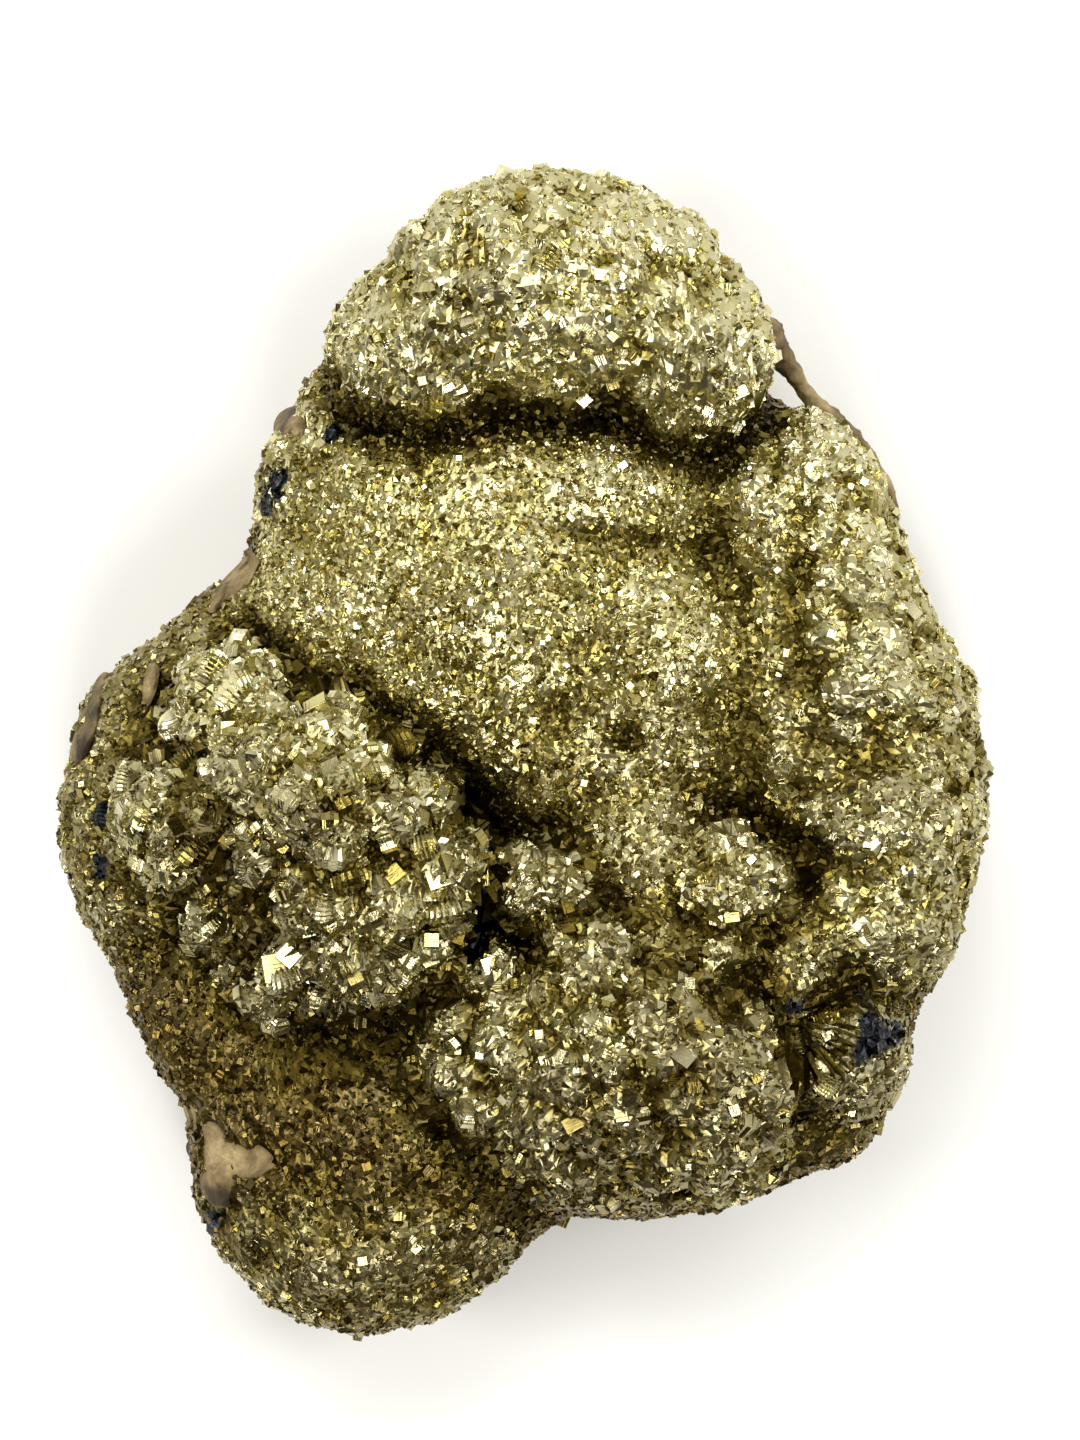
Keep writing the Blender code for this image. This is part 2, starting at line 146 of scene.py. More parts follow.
CRUST_RIM = outline_table(OUTLINE)
print("outline radius from", CRUST_RIM[1].min().round(1), "to", CRUST_RIM[1].max().round(1), "mm")

# %% [markdown]
# ## One surface from a fan of rays
# A height map can't turn under at the rim, and a ball of rays is too coarse in the middle. So the
# grid is a square pressed into a disc: rays in its inner part point straight up, and towards its edge
# they start further out and lean over until they point outwards and a little down. Along each ray the
# surface is the furthest of all the ellipsoids that the ray meets, blended where they are close.

# %% Rays on a grid
def square_to_disc(cells):
    """A square grid u, v pressed into a disc: a = u sqrt(1 - v2/2), b = v sqrt(1 - u2/2)."""
    line = np.linspace(-1, 1, cells + 1)
    u, v = np.meshgrid(line, line)
    return u * np.sqrt(1 - v * v / 2), v * np.sqrt(1 - u * u / 2)


FAN_AT = (0.0, 0.40, 0.55, 0.70, 0.85, 1.0)  # distance from the grid's middle
FAN_START = (0.0, 0.61, 0.71, 0.77, 0.80, 0.80)  # where the ray starts, as a share of the outline
FAN_LEAN = (90, 90, 72, 45, 14, -28)  # the ray's angle above the horizon, in degrees
FAN_LEVEL = 6.5  # the height at which every ray starts, in mm


def ray_fan(a, b):
    """Starts and unit directions of the rays at grid points a, b, and the room to the outline."""
    reach, angle = np.hypot(a, b), np.arctan2(b, a)
    radius = outline_radius(angle, CRUST_RIM)
    start = np.interp(reach, FAN_AT, FAN_START) * radius
    lean = np.radians(np.interp(reach, FAN_AT, FAN_LEAN))
    flat = np.stack([np.cos(angle), np.sin(angle)], -1)
    starts = np.concatenate([flat * start[..., None], np.full(a.shape + (1,), FAN_LEVEL)], -1)
    ways = np.concatenate([flat * np.cos(lean)[..., None], np.sin(lean)[..., None]], -1)
    return starts, ways, radius - start


def meet_ellipsoid(starts, ways, centre, radii, turn=0.0):
    """How far along its ray each point of an ellipsoid is.

    With the ray in the ellipsoid's own unit space, o + t d, the far crossing is at
    t = (-o.d + sqrt((o.d)2 - d.d (o.o - 1))) / d.d. Where the ray misses, the root is taken of the
    opposite number and subtracted, which lets the wall fall away steeply with no jump.
    """
    cos_t, sin_t = math.cos(math.radians(turn)), math.sin(math.radians(turn))
    spin = np.array([[cos_t, sin_t, 0], [-sin_t, cos_t, 0], [0, 0, 1]])
    to_unit = (spin / np.asarray(radii, float)[:, None]).T
    o = (starts - centre) @ to_unit
    d = ways @ to_unit
    od, dd = (o * d).sum(-1), (d * d).sum(-1)
    inside = od * od - dd * ((o * o).sum(-1) - 1)
    return (-od + np.sign(inside) * np.sqrt(np.abs(inside))) / dd


def blend_furthest(far, other, soft):
    """Smooth maximum: soft times the logarithm of the sum of both exponentials."""
    return soft * np.logaddexp(far / soft, other / soft)


RIM_TOP, RIM_FOOT = 12.0, 4.6  # the thin crust between the mounds, in mm


def meet_rim(ways, room):
    """The rounded plate between the mounds: (cos/x)4 + (sin/z)4 = 1 in each ray's own plane."""
    rise = np.where(ways[..., 2] > 0, RIM_TOP - FAN_LEVEL, FAN_LEVEL - RIM_FOOT)
    flat = np.hypot(ways[..., 0], ways[..., 1]) / np.maximum(room, 0.1)
    return (flat**4 + (np.abs(ways[..., 2]) / rise) ** 4) ** -0.25


# %% [markdown]
# ## How coarse the druse is, and where
# On the real specimen the smooth middle mound and the low slope have the finest druse, about a
# quarter of a millimetre. The head, the right ridge and the lower mounds have crystals of about
# 0.4 mm. Those of the left mound are two thirds of a millimetre, on knobs of three. Each kind of
# druse is a row of numbers, and every mound carries one kind.

# %% Kinds of druse
# Crystal size in mm, width of the knobs in mm, how high they stand as a share of that width, how
# much longer they are from left to right than from end to end, and how much the druse has aged.
DRUSE = {
    "dust": (0.22, 1.7, 0.06, 1.0, 0.10), "thin": (0.25, 2.2, 0.13, 1.0, 0.92),
    "foot": (0.27, 2.4, 0.16, 1.0, 0.55), "pale": (0.26, 2.2, 0.15, 1.0, 0.15),
    "ridge": (0.36, 2.1, 0.30, 1.7, 0.0), "head": (0.38, 2.0, 0.27, 1.0, 0.0),
    "lower": (0.44, 2.3, 0.38, 1.0, 0.1), "coarse": (0.66, 3.0, 0.42, 1.0, 0.1),
}
DRUSE_ON = {
    "head": "head", "middle": "dust", "left": "coarse", "right": "ridge", "bud": "lower",
    "lower": "lower", "corner": "ridge", "slope": "thin", "foot": "foot", "neck": "pale",
    "left_rim": "foot", "left_shelf": "foot", "left_saddle": "pale", "right_valley": "pale",
    "right_gap": "pale", "right_saddle": "pale", "lower_bridge": "ridge", "left_flank": "lower",
    "lower_foot": "thin", "corner_foot": "thin",
}


def family(name):
    """The first word of a mound's name: mounds of one family melt into each other."""
    return name.split("_")[0]


def druse_of(name):
    """The row of a mound's own kind of druse, or else of its family's."""
    return DRUSE[DRUSE_ON.get(name, DRUSE_ON[family(name)])]


# %% The mounds as a function of the grid
# By family: how softly the mounds of one family melt together, and how softly it joins the others, in mm.
MELT = {
    "head": (0.7, 0.4), "middle": (1.5, 0.5), "left": (0.5, 0.4), "right": (1.2, 1.1),
    "bud": (0.5, 0.8), "lower": (0.8, 0.8), "corner": (0.5, 0.6), "slope": (1.4, 0.5),
    "foot": (0.8, 1.3), "neck": (0.8, 1.0),
}


def mound_surface(a, b):
    """Point, ray, kind of druse and distance: point = start + way times the furthest crossing.

    The druse is that of the mound whose own crossing is the furthest, so its borders are sharp.
    """
    starts, ways, room = ray_fan(a, b)
    far = meet_rim(ways, room)
    druse = np.tile(DRUSE["thin"], far.shape + (1,))
    furthest = far.copy()
    for kin in dict.fromkeys(family(row[0]) for row in MOUNDS):
        joined = None
        for name, x, y, crest, along, across, up, turn in MOUNDS:
            if family(name) != kin:
                continue
            reach = meet_ellipsoid(starts, ways, (x, y, crest - up), (along, across, up), turn)
            joined = reach if joined is None else blend_furthest(joined, reach, MELT[kin][0])
            ahead = reach > furthest
            druse[ahead] = druse_of(name)
            furthest = np.maximum(furthest, reach)
        far = blend_furthest(far, joined, MELT[kin][1])
    return starts + ways * far[..., None], ways, druse, far


CELLS = 300
grid_a, grid_b = square_to_disc(CELLS)
smooth_points, ray_ways, druse, far = mound_surface(grid_a, grid_b)
print("mounds in mm:", smooth_points.min((0, 1)).round(1), smooth_points.max((0, 1)).round(1))

# %% [markdown]
# ## Unevenness and knobs
# Nothing that grew is quite round. Two kinds of random field do the rest. Swells are random numbers on
# a lattice, blended smoothly. Growth cells measure how far a point is from the nearest of many
# scattered seeds: raised as a cap over each seed, that gives the tight knobs of a cauliflower, with
# a sharp crease where two knobs meet. Both push the surface along its own normal, so that knobs on a
# steep flank stand out sideways.

# %% Random fields
def swells(points, width, seed):
    """Value noise: random numbers at the corners of cubes of that width, blended by 3f2 - 2f3."""
    lattice = np.random.default_rng(seed).uniform(-1, 1, (32, 32, 32))
    scaled = np.asarray(points) / width
    corner = np.floor(scaled).astype(int)
    f = scaled - corner
    f = f * f * (3 - 2 * f)
    total = np.zeros(scaled.shape[:-1])
    for step in np.ndindex(2, 2, 2):
        share = np.prod(np.where(np.array(step) == 1, f, 1 - f), -1)
        at = (corner + step) % 32
        total += share * lattice[at[..., 0], at[..., 1], at[..., 2]]
    return total


def growth_cells(points, width, seed):
    """Distance to the nearest scattered seed in cell widths, and a random number of that seed.

    Space is cut in cubes of the width, each with one seed at a random place; the 27 cubes round a
    point are tried and the smallest distance kept.
    """
    chance = np.random.default_rng(seed)
    places, numbers = chance.random((16, 16, 16, 3)), chance.random((16, 16, 16))
    scaled = points / width
    corner = np.floor(scaled).astype(int)
    nearest, number = np.full(scaled.shape[:-1], 9.0), np.zeros(scaled.shape[:-1])
    for step in np.ndindex(3, 3, 3):
        cube = corner + step - np.array([1, 1, 1])
        at = tuple(np.moveaxis(cube % 16, -1, 0))
        gap = np.sqrt(((cube + places[at] - scaled) ** 2).sum(-1))
        closer = gap < nearest
        nearest[closer], number[closer] = gap[closer], numbers[at][closer]
    return nearest, number


def unit(vectors):
    """Each vector divided by its length."""
    return vectors / np.maximum(np.linalg.norm(vectors, axis=-1, keepdims=True), 1e-9)


def grid_normals(points, outward):
    """Cross product of the two grid directions, turned to the same side as the rays."""
    normal = unit(np.cross(np.gradient(points, axis=1), np.gradient(points, axis=0)))
    return normal * np.where((normal * outward).sum(-1, keepdims=True) < 0, -1, 1)


# %% A blur for fields on the grid
def blurred(field, cells):
    """Gaussian blur of a grid by multiplying its spectrum."""
    padded = np.pad(field, 40, mode="edge")
    fy, fx = np.meshgrid(*(np.fft.fftfreq(n) for n in padded.shape), indexing="ij")
    kernel = np.exp(-2 * (math.pi * cells) ** 2 * (fx * fx + fy * fy))
    return np.fft.ifft2(np.fft.fft2(padded) * kernel).real[40:-40, 40:-40]


# %% The crust's skin with knobs
SMALL_KNOBS = 0.42  # the width of the small knobs as a share of the large ones
CAP_LEVEL, CAP_EDGE = 0.20, 0.8  # a cap's squared distance at mound level, and where it ends


def knob_height(points, druse):
    """Caps over the growth cells: width times rise times (0.2 - distance squared), at two sizes."""
    width, rise = druse[..., 1:2], druse[..., 2]
    squeezed = points / np.stack([druse[..., 3], rise * 0 + 1, rise * 0 + 1], -1)
    gap, _ = growth_cells(squeezed, width, 21)
    small_gap, _ = growth_cells(squeezed, width * SMALL_KNOBS, 22)
    caps = 1.9 * (CAP_LEVEL - np.minimum(gap, CAP_EDGE) ** 2)
    small = 0.55 * (CAP_LEVEL - np.minimum(small_gap, CAP_EDGE) ** 2)
    return width[..., 0] * rise * (caps + small)


def held_inside(points, room=-0.45, soft=1.2):
    """Draws in what comes near the outline: distance past a line goes to soft (1 - e^(-d / soft))."""
    angle, reach = np.arctan2(points[..., 1], points[..., 0]), np.hypot(points[..., 0], points[..., 1])
    line = outline_radius(angle, CRUST_RIM) - room - soft
    past = np.maximum(reach - line, 0)
    drawn = np.where(past > 0, line + soft * (1 - np.exp(-past / soft)), reach)
    share = drawn / np.maximum(reach, 1e-6)
    return points * np.stack([share, share, np.ones_like(share)], -1)


# %% Folds and dimples that no mound makes
# x, y, radii, turn in degrees and depth, in mm. Where the depth is below nothing, it fills in.
FOLDS = (
    (5.2, 11.9, 4.6, 0.5, -4, 0.4), (5.6, 0.9, 1.2, 0.7, -20, 1.2),
    (-4.0, -21.6, 6.2, 0.45, -44, 0.6), (-2.6, -10.0, 0.5, 1.7, -6, 2.0),
    (-1.6, -11.4, 2.4, 2.6, 0, -2.4), (14.8, -17.4, 1.7, 3.6, 0, -1.5),
    (-12.7, 3.4, 1.9, 1.7, 0, -2.0), (-0.6, -4.4, 2.6, 1.4, 20, -1.2),
    (13.8, -3.2, 1.4, 3.4, 0, -1.0),
)
FOLD_FOOT = 11  # mm: below this level the crust has no folds


def in_turned_frame(points, x, y, turn):
    """How far points are from x, y along the two axes of a frame turned by so many degrees."""
    cos_t, sin_t = math.cos(math.radians(turn)), math.sin(math.radians(turn))
    east, north = points[..., 0] - x, points[..., 1] - y
    return east * cos_t + north * sin_t, north * cos_t - east * sin_t


def fold_depth(points):
    """The sum of the folds, each a bell: depth times e to the power of minus its distance squared."""
    depth = np.zeros(points.shape[:-1])
    for x, y, along, across, turn, deep in FOLDS:
        far_along, far_across = in_turned_frame(points, x, y, turn)
        depth += deep * np.exp(-(far_along / along) ** 2 - (far_across / across) ** 2)
    return depth * np.clip(points[..., 2] - FOLD_FOOT, 0, 1)


# %% The skin: mounds, swells and folds, held inside the outline, and then the knobs
slow = swells(smooth_points, 5.0, 3) * 0.45 + swells(smooth_points, 2.0, 4) * 0.15
slow -= fold_depth(smooth_points)
slow_points = held_inside(smooth_points + ray_ways * slow[..., None])
skin_normals = grid_normals(slow_points, ray_ways)
knobs = knob_height(slow_points, druse)
skin_points = slow_points + skin_normals * knobs[..., None]
skin_normals = grid_normals(skin_points, ray_ways)
grain, age = druse[..., 0], blurred(druse[..., 4], 3)
print("knobs from", knobs.min().round(2), "to", knobs.max().round(2), "mm")

# %% How deep each point lies below what is round it: painted shade in hollows, painted highlight on crests
HOLLOW, MOST_HOLLOW = 7.0, 0.34  # a hollow this deep in mm counts as full, but darkens by 0.34 at most
CREASE, RISE = 0.9, 0.5  # mm below and above the close surroundings that count as full
height = far + slow + knobs
wide, narrow = blurred(height, 9) - height, blurred(height, 4) - height
# Painted shade: points that lie below the blurred surface round them get a darker colour, in wide hollows
# and narrow creases
crease_shade = np.clip(np.minimum(wide / HOLLOW, MOST_HOLLOW) + narrow / CREASE, 0, 1)
# Painted highlight: points that stand above the close surroundings are made paler
crest = np.clip(0.5 - narrow / RISE, 0, 1)
print("cavity share:", (crease_shade > 0.4).mean().round(3), "crest share:", (crest > 0.7).mean().round(3))

# %% [markdown]
# ## From arrays to meshes
# One helper writes points and triangles straight into a mesh. It hangs named numbers on the points
# and a map on the corners of the faces, which the materials read later.

# %% A mesh from arrays
def mesh_object(name, points, faces, uv=None, numbers=None, smooth=False):
    """points: rows in mm. faces: rows of three indices. numbers: one value a point, by name."""
    mesh = bpy.data.meshes.new(name)
    flat = np.ascontiguousarray((points.reshape(-1, 3) + MIDDLE) * MM, np.float32)
    faces = np.ascontiguousarray(faces, np.int32)
    mesh.vertices.add(len(flat))
    mesh.vertices.foreach_set("co", flat.ravel())
    mesh.loops.add(faces.size)
    mesh.loops.foreach_set("vertex_index", faces.ravel())
    mesh.polygons.add(len(faces))
    mesh.polygons.foreach_set("loop_start", np.arange(0, faces.size, 3, dtype=np.int32))
    mesh.update(calc_edges=True)
    mesh.polygons.foreach_set("use_smooth", np.full(len(faces), smooth))
    for key, values in (numbers or {}).items():
        layer = mesh.attributes.new(key, "FLOAT", "POINT")
        layer.data.foreach_set("value", np.ascontiguousarray(values.ravel(), np.float32))
    if uv is not None:
        layer = mesh.uv_layers.new(name="grain")
        layer.data.foreach_set("uv", np.ascontiguousarray(uv.ravel(), np.float32))
    mesh.validate()
    obj = bpy.data.objects.new(name, mesh)
    bpy.context.scene.collection.objects.link(obj)
    print(name, len(faces), "triangles")
    return obj


def grid_quads(rows, columns, wrap=False):
    """Four indices between neighbouring grid points, the last column joined to the first if wrap."""
    index = np.arange(rows * columns).reshape(rows, columns)
    if wrap:
        index = np.concatenate([index, index[:, :1]], 1)
    corners = [index[:-1, :-1], index[:-1, 1:], index[1:, 1:], index[1:, :-1]]
    return np.stack(corners, -1).reshape(-1, 4)


def split_quads(quads, seed=None):
    """Two triangles for each quad. With a seed, its diagonal is chosen at random."""
    if seed is not None:
        other = np.random.default_rng(seed).random(len(quads)) < 0.5
        quads = np.where(other[:, None], np.roll(quads, 1, axis=1), quads)
    return np.concatenate([quads[:, [0, 1, 2]], quads[:, [0, 2, 3]]])


def closed_faces(rows, around):
    """Triangles of a grid that wraps round. Two more points after the grid are its end poles."""
    ring, last = np.arange(around), (rows - 1) * around
    ahead, pole = (ring + 1) % around, np.full(around, rows * around)
    start = np.stack([pole, ahead, ring], 1)
    end = np.stack([pole + 1, last + ring, last + ahead], 1)
    return np.concatenate([split_quads(grid_quads(rows, around, wrap=True)), start, end])


def with_poles(rings):
    """A grid of rings as one list of points, with the middle of its first and last ring added."""
    return np.concatenate([rings.reshape(-1, 3), rings[:1].mean(1), rings[-1:].mean(1)])


# %% [markdown]
# ## Bare rock and tarnish
# In a few places the crust has come off and the rock shows, and in others the pyrite has tarnished
# blue-black. Both are ragged spots: ellipses whose edge is moved by swells. Bare places are sunk a
# little and get no crystals, and tarnish is only a number that the material reads.

# %% The places of bare rock and dark tarnish
# Centre, radii in mm and turn in degrees.
BARE_ROCK = (
    (-16.4, -22.6, 1.9, 0.9, -8), (-17.4, -21.6, 0.8, 1.0, 20), (-17.1, -24.1, 0.9, 1.0, 0),
    (-18.4, -20.0, 0.5, 0.7, 0), (-24.5, 1.6, 0.5, 2.2, -16),
    (-20.9, 4.1, 0.36, 1.1, -8), (-16.2, 9.6, 0.5, 1.6, -42), (-13.0, 18.4, 0.8, 0.8, 0),
)
DARK_SPOTS = (
    (19.3, -15.6, 0.9, 1.5, 10), (20.4, -15.9, 1.2, 0.5, 20), (18.7, -16.7, 0.8, 0.6, 0),
    (14.9, -14.1, 0.45, 0.5, 0), (-2.5, -9.9, 0.55, 1.7, -5), (-14.1, 14.5, 0.6, 1.2, -25),
    (-10.8, 17.7, 0.5, 0.5, 0), (-23.8, -3.7, 0.4, 0.6, 0), (-23.7, -6.4, 0.5, 0.8, 0),
    (-17.5, -26.0, 0.5, 0.4, 0),
)


def spot_amount(points, spots, ragged=0.45, seed=31):
    """1 inside the nearest ellipse, 0 outside: its edge is moved in and out by small swells."""
    wobble = 1 + ragged * swells(points, 0.7, seed) + ragged * 0.6 * swells(points, 0.3, seed + 1)
    amount = np.zeros(points.shape[:-1])
    for x, y, along, across, turn in spots:
        far_along, far_across = in_turned_frame(points, x, y, turn)
        far_out = np.hypot(far_along / along, far_across / across)
        amount = np.maximum(amount, np.clip((1.15 - far_out * wobble) / 0.25, 0, 1))
    return amount


bare = spot_amount(skin_points, BARE_ROCK)
dark = spot_amount(skin_points, DARK_SPOTS) * np.clip(4 * skin_normals[..., 2], 0, 1)
print("bare rock on", (bare > 0.5).mean().round(4), "of the skin, tarnish on", (dark > 0.5).mean().round(4))

# %% [markdown]
# ## The skin between the crystals
# Between the crystals the crust is a floor of smaller ones. Every point of the skin is nudged at
# random, so that its flat triangles catch the light one by one. Then the skin is closed underneath
# with a few rings that run in to the middle, since every piece is one closed body.

# %% Facets
NUDGE = 0.17  # how far a point is moved, as a share of its crystals' size
BARE_DEPTH = 0.35  # how far the skin is sunk where the rock shows, in mm
chance = np.random.default_rng(5)
nudge = chance.uniform(-1, 1, skin_points.shape) * np.clip(grain, 0.25, 0.5)[..., None] * NUDGE
skin_drawn = skin_points + nudge - skin_normals * bare[..., None] * BARE_DEPTH

# %% Close the skin underneath
def border_loop(grid):
    """The grid's outer points, once round."""
    return np.concatenate([grid[0, :-1], grid[:-1, -1], grid[-1, :0:-1], grid[:0:-1, 0]])


UNDER_SHARE = (0.93, 0.84, 0.5, 0.1)  # of the way from the middle to the rim
UNDER_LEVEL = (4.9, 5.6, 6.2, 6.4)  # in mm
rim = border_loop(skin_drawn)
under = np.stack([
    np.concatenate([rim[:, :2] * share, np.full((len(rim), 1), level)], 1)
    for share, level in zip(UNDER_SHARE, UNDER_LEVEL)
])
count = (CELLS + 1) ** 2
rim_index = border_loop(np.arange(count).reshape(CELLS + 1, CELLS + 1, 1))[:, 0]
ring_index = np.concatenate([rim_index, count + np.arange(under[..., 0].size)])
under_faces = split_quads(ring_index[grid_quads(len(under) + 1, len(rim), wrap=True)][:, ::-1])
inner = ring_index[-len(rim):]
hub = np.full(len(rim), count + under[..., 0].size)
hub_faces = np.stack([inner, hub, np.roll(inner, -1)], 1)
skin_faces = np.concatenate(
    [split_quads(grid_quads(CELLS + 1, CELLS + 1), seed=6), under_faces, hub_faces]
)
all_points = np.concatenate([skin_drawn.reshape(-1, 3), under.reshape(-1, 3), [(0, 0, 6.4)]])


def with_under(values):
    """The grid's values and a nought for each point underneath."""
    return np.concatenate([values.ravel(), np.zeros(under[..., 0].size + 1)])


# Skin shade: partly random, mostly a painted highlight that makes knob crests paler
tint_and_crest_light = np.clip(0.35 * chance.random(grain.shape) + 0.65 * crest, 0, 1)
# Painted shade: the skin between the crystals is darkened everywhere, and more in the creases
skin_numbers = {"tint_and_crest_light": tint_and_crest_light, "crease_shade": 0.35 + 0.65 * crease_shade, "dark": dark, "age": age}
crust_skin = mesh_object(
    "crust_skin", all_points, skin_faces,
    numbers={key: with_under(values) for key, values in skin_numbers.items()},
)

# %% [markdown]
# ## The crystals
# Pyrite grows as cubes, octahedra and twelve-faced pyritohedra, and in a druse they stand at every
# angle with only their outer corners free. A crystal here is a small closed solid with its middle near
# the skin. All crystals of one form are placed at once: random points on the skin, as many on each
# patch as its size of druse asks for, a random turn for each, and one multiplication of arrays.

# %% The forms that pyrite takes
def face_cross(points, faces):
    """The cross product of two edges of each triangle, which points along its normal."""
    corners = points[faces]
    return np.cross(corners[:, 1] - corners[:, 0], corners[:, 2] - corners[:, 0])


def facing_out(points, faces):
    """Turns round each triangle whose normal points to the middle of a convex solid."""
    inward = (face_cross(points, faces) * (points[faces].mean(1) - points.mean(0))).sum(1) < 0
    return np.where(inward[:, None], faces[:, ::-1], faces)


def with_grooves(points, faces):
    """A form: its points, its faces, and the place of each corner across and along its grooves.

    The grooves on neighbouring faces of pyrite run at right angles. They follow y on the faces that
    look along x, z on those that look along y, and x on those that look along z.
    """
    corners, normal = points[faces], unit(face_cross(points, faces))
    along = np.eye(3)[(np.abs(normal).argmax(1) + 1) % 3]
    along = unit(along - normal * (along * normal).sum(1, keepdims=True))
    across = np.cross(normal, along)
    places = [(corners * axis[:, None]).sum(-1) for axis in (across, along)]
    return points, faces, np.stack(places, -1)


def cube_form():
    """A cube with edges of 1: every sum of plus or minus a half along the three axes."""
    points = np.array([[x, y, z] for x in (-0.5, 0.5) for y in (-0.5, 0.5) for z in (-0.5, 0.5)])
    quads = np.array([
        (0, 1, 3, 2), (4, 6, 7, 5), (0, 4, 5, 1), (2, 3, 7, 6), (0, 2, 6, 4), (1, 5, 7, 3),
    ])
    return with_grooves(points, facing_out(points, split_quads(quads)))


def corner_form():
    """The corner of a cube, pointing up: three faces at right angles, closed underneath."""
    around = np.radians((90, 210, 330))
    base = np.stack([np.cos(around) * 0.72, np.sin(around) * 0.72, np.full(3, -0.2)], 1)
    points = np.concatenate([base, [(0, 0, 0.31)]])
    faces = np.array([(0, 1, 3), (1, 2, 3), (2, 0, 3), (0, 1, 2)])
    return with_grooves(points, facing_out(points, faces))


def pyramid_form():
    """The upper half of an octahedron, a little low: four faces that meet in a point."""
    base = [(-0.5, -0.5, -0.25), (0.5, -0.5, -0.25), (0.5, 0.5, -0.25), (-0.5, 0.5, -0.25)]
    points = np.array([*base, (0, 0, 0.34)])
    faces = np.array([(0, 1, 4), (1, 2, 4), (2, 3, 4), (3, 0, 4), (0, 1, 2), (0, 2, 3)])
    return with_grooves(points, facing_out(points, faces))


def roof_form():
    """A ridge between two sloping faces, as where two faces of a pyritohedron meet."""
    points = np.array([
        (-0.62, -0.34, -0.3), (0.62, -0.34, -0.3), (0.62, 0.34, -0.3), (-0.62, 0.34, -0.3),
        (-0.40, 0, 0.36), (0.40, 0, 0.36),
    ])
    quads = np.array([(0, 1, 5, 4), (2, 3, 4, 5), (0, 3, 2, 1)])
    faces = np.concatenate([split_quads(quads), [(1, 2, 5), (3, 0, 4)]])
    return with_grooves(points, facing_out(points, faces))


FORMS = {"cube": cube_form(), "corner": corner_form(), "pyramid": pyramid_form(), "roof": roof_form()}
print({name: len(form[1]) for name, form in FORMS.items()}, "triangles in each form")

# %% Random points on the skin
skin_corners = grid_quads(CELLS + 1, CELLS + 1)
face_points = skin_drawn.reshape(-1, 3)[skin_corners]
diagonals = np.cross(face_points[:, 2] - face_points[:, 0], face_points[:, 3] - face_points[:, 1])
face_area = 0.5 * np.linalg.norm(diagonals, axis=1)


def at_face(values):
    """The values at the first corner of each face of the skin."""
    return values.reshape(-1, *values.shape[2:])[skin_corners[:, 0]]


face_normal, face_grain, face_age, face_bare, face_dark, face_crease_shade, face_crest_light = map(
    at_face, (skin_normals, grain, age, bare, dark, crease_shade, crest)
)
for kind, row in DRUSE.items():
    print(kind, "covers", round(face_area[np.isclose(face_grain, row[0])].sum()), "mm2")


# %% The largest sheaves, and the room they take on the skin
# x, y, width and direction in degrees of the sheaves that stand out most, in mm.
SHEAVES = (
    (-17.2, 4.9, 2.3, 60), (-15.8, 3.5, 2.4, 35), (-19.2, 1.6, 2.2, 60), (-18.6, -0.4, 2.0, 40),
    (-8.0, -1.0, 2.4, 5), (-6.9, 0.6, 2.6, 30), (-22.0, -1.5, 2.2, 70), (-20.9, -3.4, 2.4, 55),
    (-23.2, -3.4, 1.9, 80), (-9.6, -6.6, 2.4, 10), (-10.9, -8.4, 2.2, 80), (-13.2, -12.2, 2.3, 20),
    (-11.0, -13.0, 2.2, 65), (-10.4, -14.8, 2.2, 5), (-5.4, -5.0, 2.2, 15), (-4.4, -8.6, 2.2, 10),
    (-18.0, -5.4, 2.2, 50), (-16.9, -9.4, 2.2, 35), (-15.6, -7.0, 2.0, 30), (-12.0, 2.8, 2.2, 70),
    (15.0, -16.0, 2.0, 80), (16.8, -18.4, 1.9, 60), (16.6, -14.6, 1.8, 20), (1.6, 27.2, 2.0, 60),
)


def nearest_faces(wanted):
    """For each x, y the face of the skin whose middle is closest to it, seen from above."""
    middles = face_points.mean(1)
    upward = face_normal[:, 2] > 0.15
    gaps = np.hypot(*(middles[None, :, :2] - wanted[:, None, :]).transpose(2, 0, 1))
    return np.where(upward[None], gaps, 99).argmin(1)


sheaf_table = np.array(SHEAVES)
sheaf_picks = nearest_faces(sheaf_table[:, :2])
sheaf_places = face_points[sheaf_picks].mean(1)
sheaf_gaps = np.linalg.norm(face_points.mean(1)[None] - sheaf_places[:, None], axis=2)
face_taken = (sheaf_gaps < 0.42 * sheaf_table[:, 2:3]).any(0)
print("room kept for", len(SHEAVES), "sheaves:", round(face_area[face_taken].sum()), "mm2")


# %% Random seats for the crystals
def seats(wanted, seed):
    """Picks faces with a chance in proportion to area times wanted (crystals a square mm)."""
    chance = np.random.default_rng(seed)
    weight = face_area * wanted * (face_bare < 0.4) * ~face_taken
    total = int(weight.sum())
    picks = np.searchsorted(np.cumsum(weight), chance.random(total) * weight.sum())
    picks = np.minimum(picks, len(face_area) - 1)
    u, v = chance.random((2, total, 1))
    p = face_points[picks]
    place = (p[:, 0] * (1 - u) + p[:, 1] * u) * (1 - v) + (p[:, 3] * (1 - u) + p[:, 2] * u) * v
    return picks, place, chance


# %% Random turns
def random_turns(count, chance):
    """Rotation matrices from random unit quaternions."""
    q = chance.normal(size=(count, 4))
    w, x, y, z = unit(q).T
    rows = [
        [1 - 2 * (y * y + z * z), 2 * (x * y - z * w), 2 * (x * z + y * w)],
        [2 * (x * y + z * w), 1 - 2 * (x * x + z * z), 2 * (y * z - x * w)],
        [2 * (x * z - y * w), 2 * (y * z + x * w), 1 - 2 * (x * x + y * y)],
    ]
    return np.moveaxis(np.array(rows), -1, 0)


def turns_upright(normals, chance, lean):
    """Rotations whose third axis is the skin's normal plus a random lean, spun by a random angle."""
    up = unit(normals + chance.normal(size=normals.shape) * lean)
    side = unit(np.cross(up, chance.normal(size=normals.shape)))
    return np.stack([side, np.cross(up, side), up], -1)


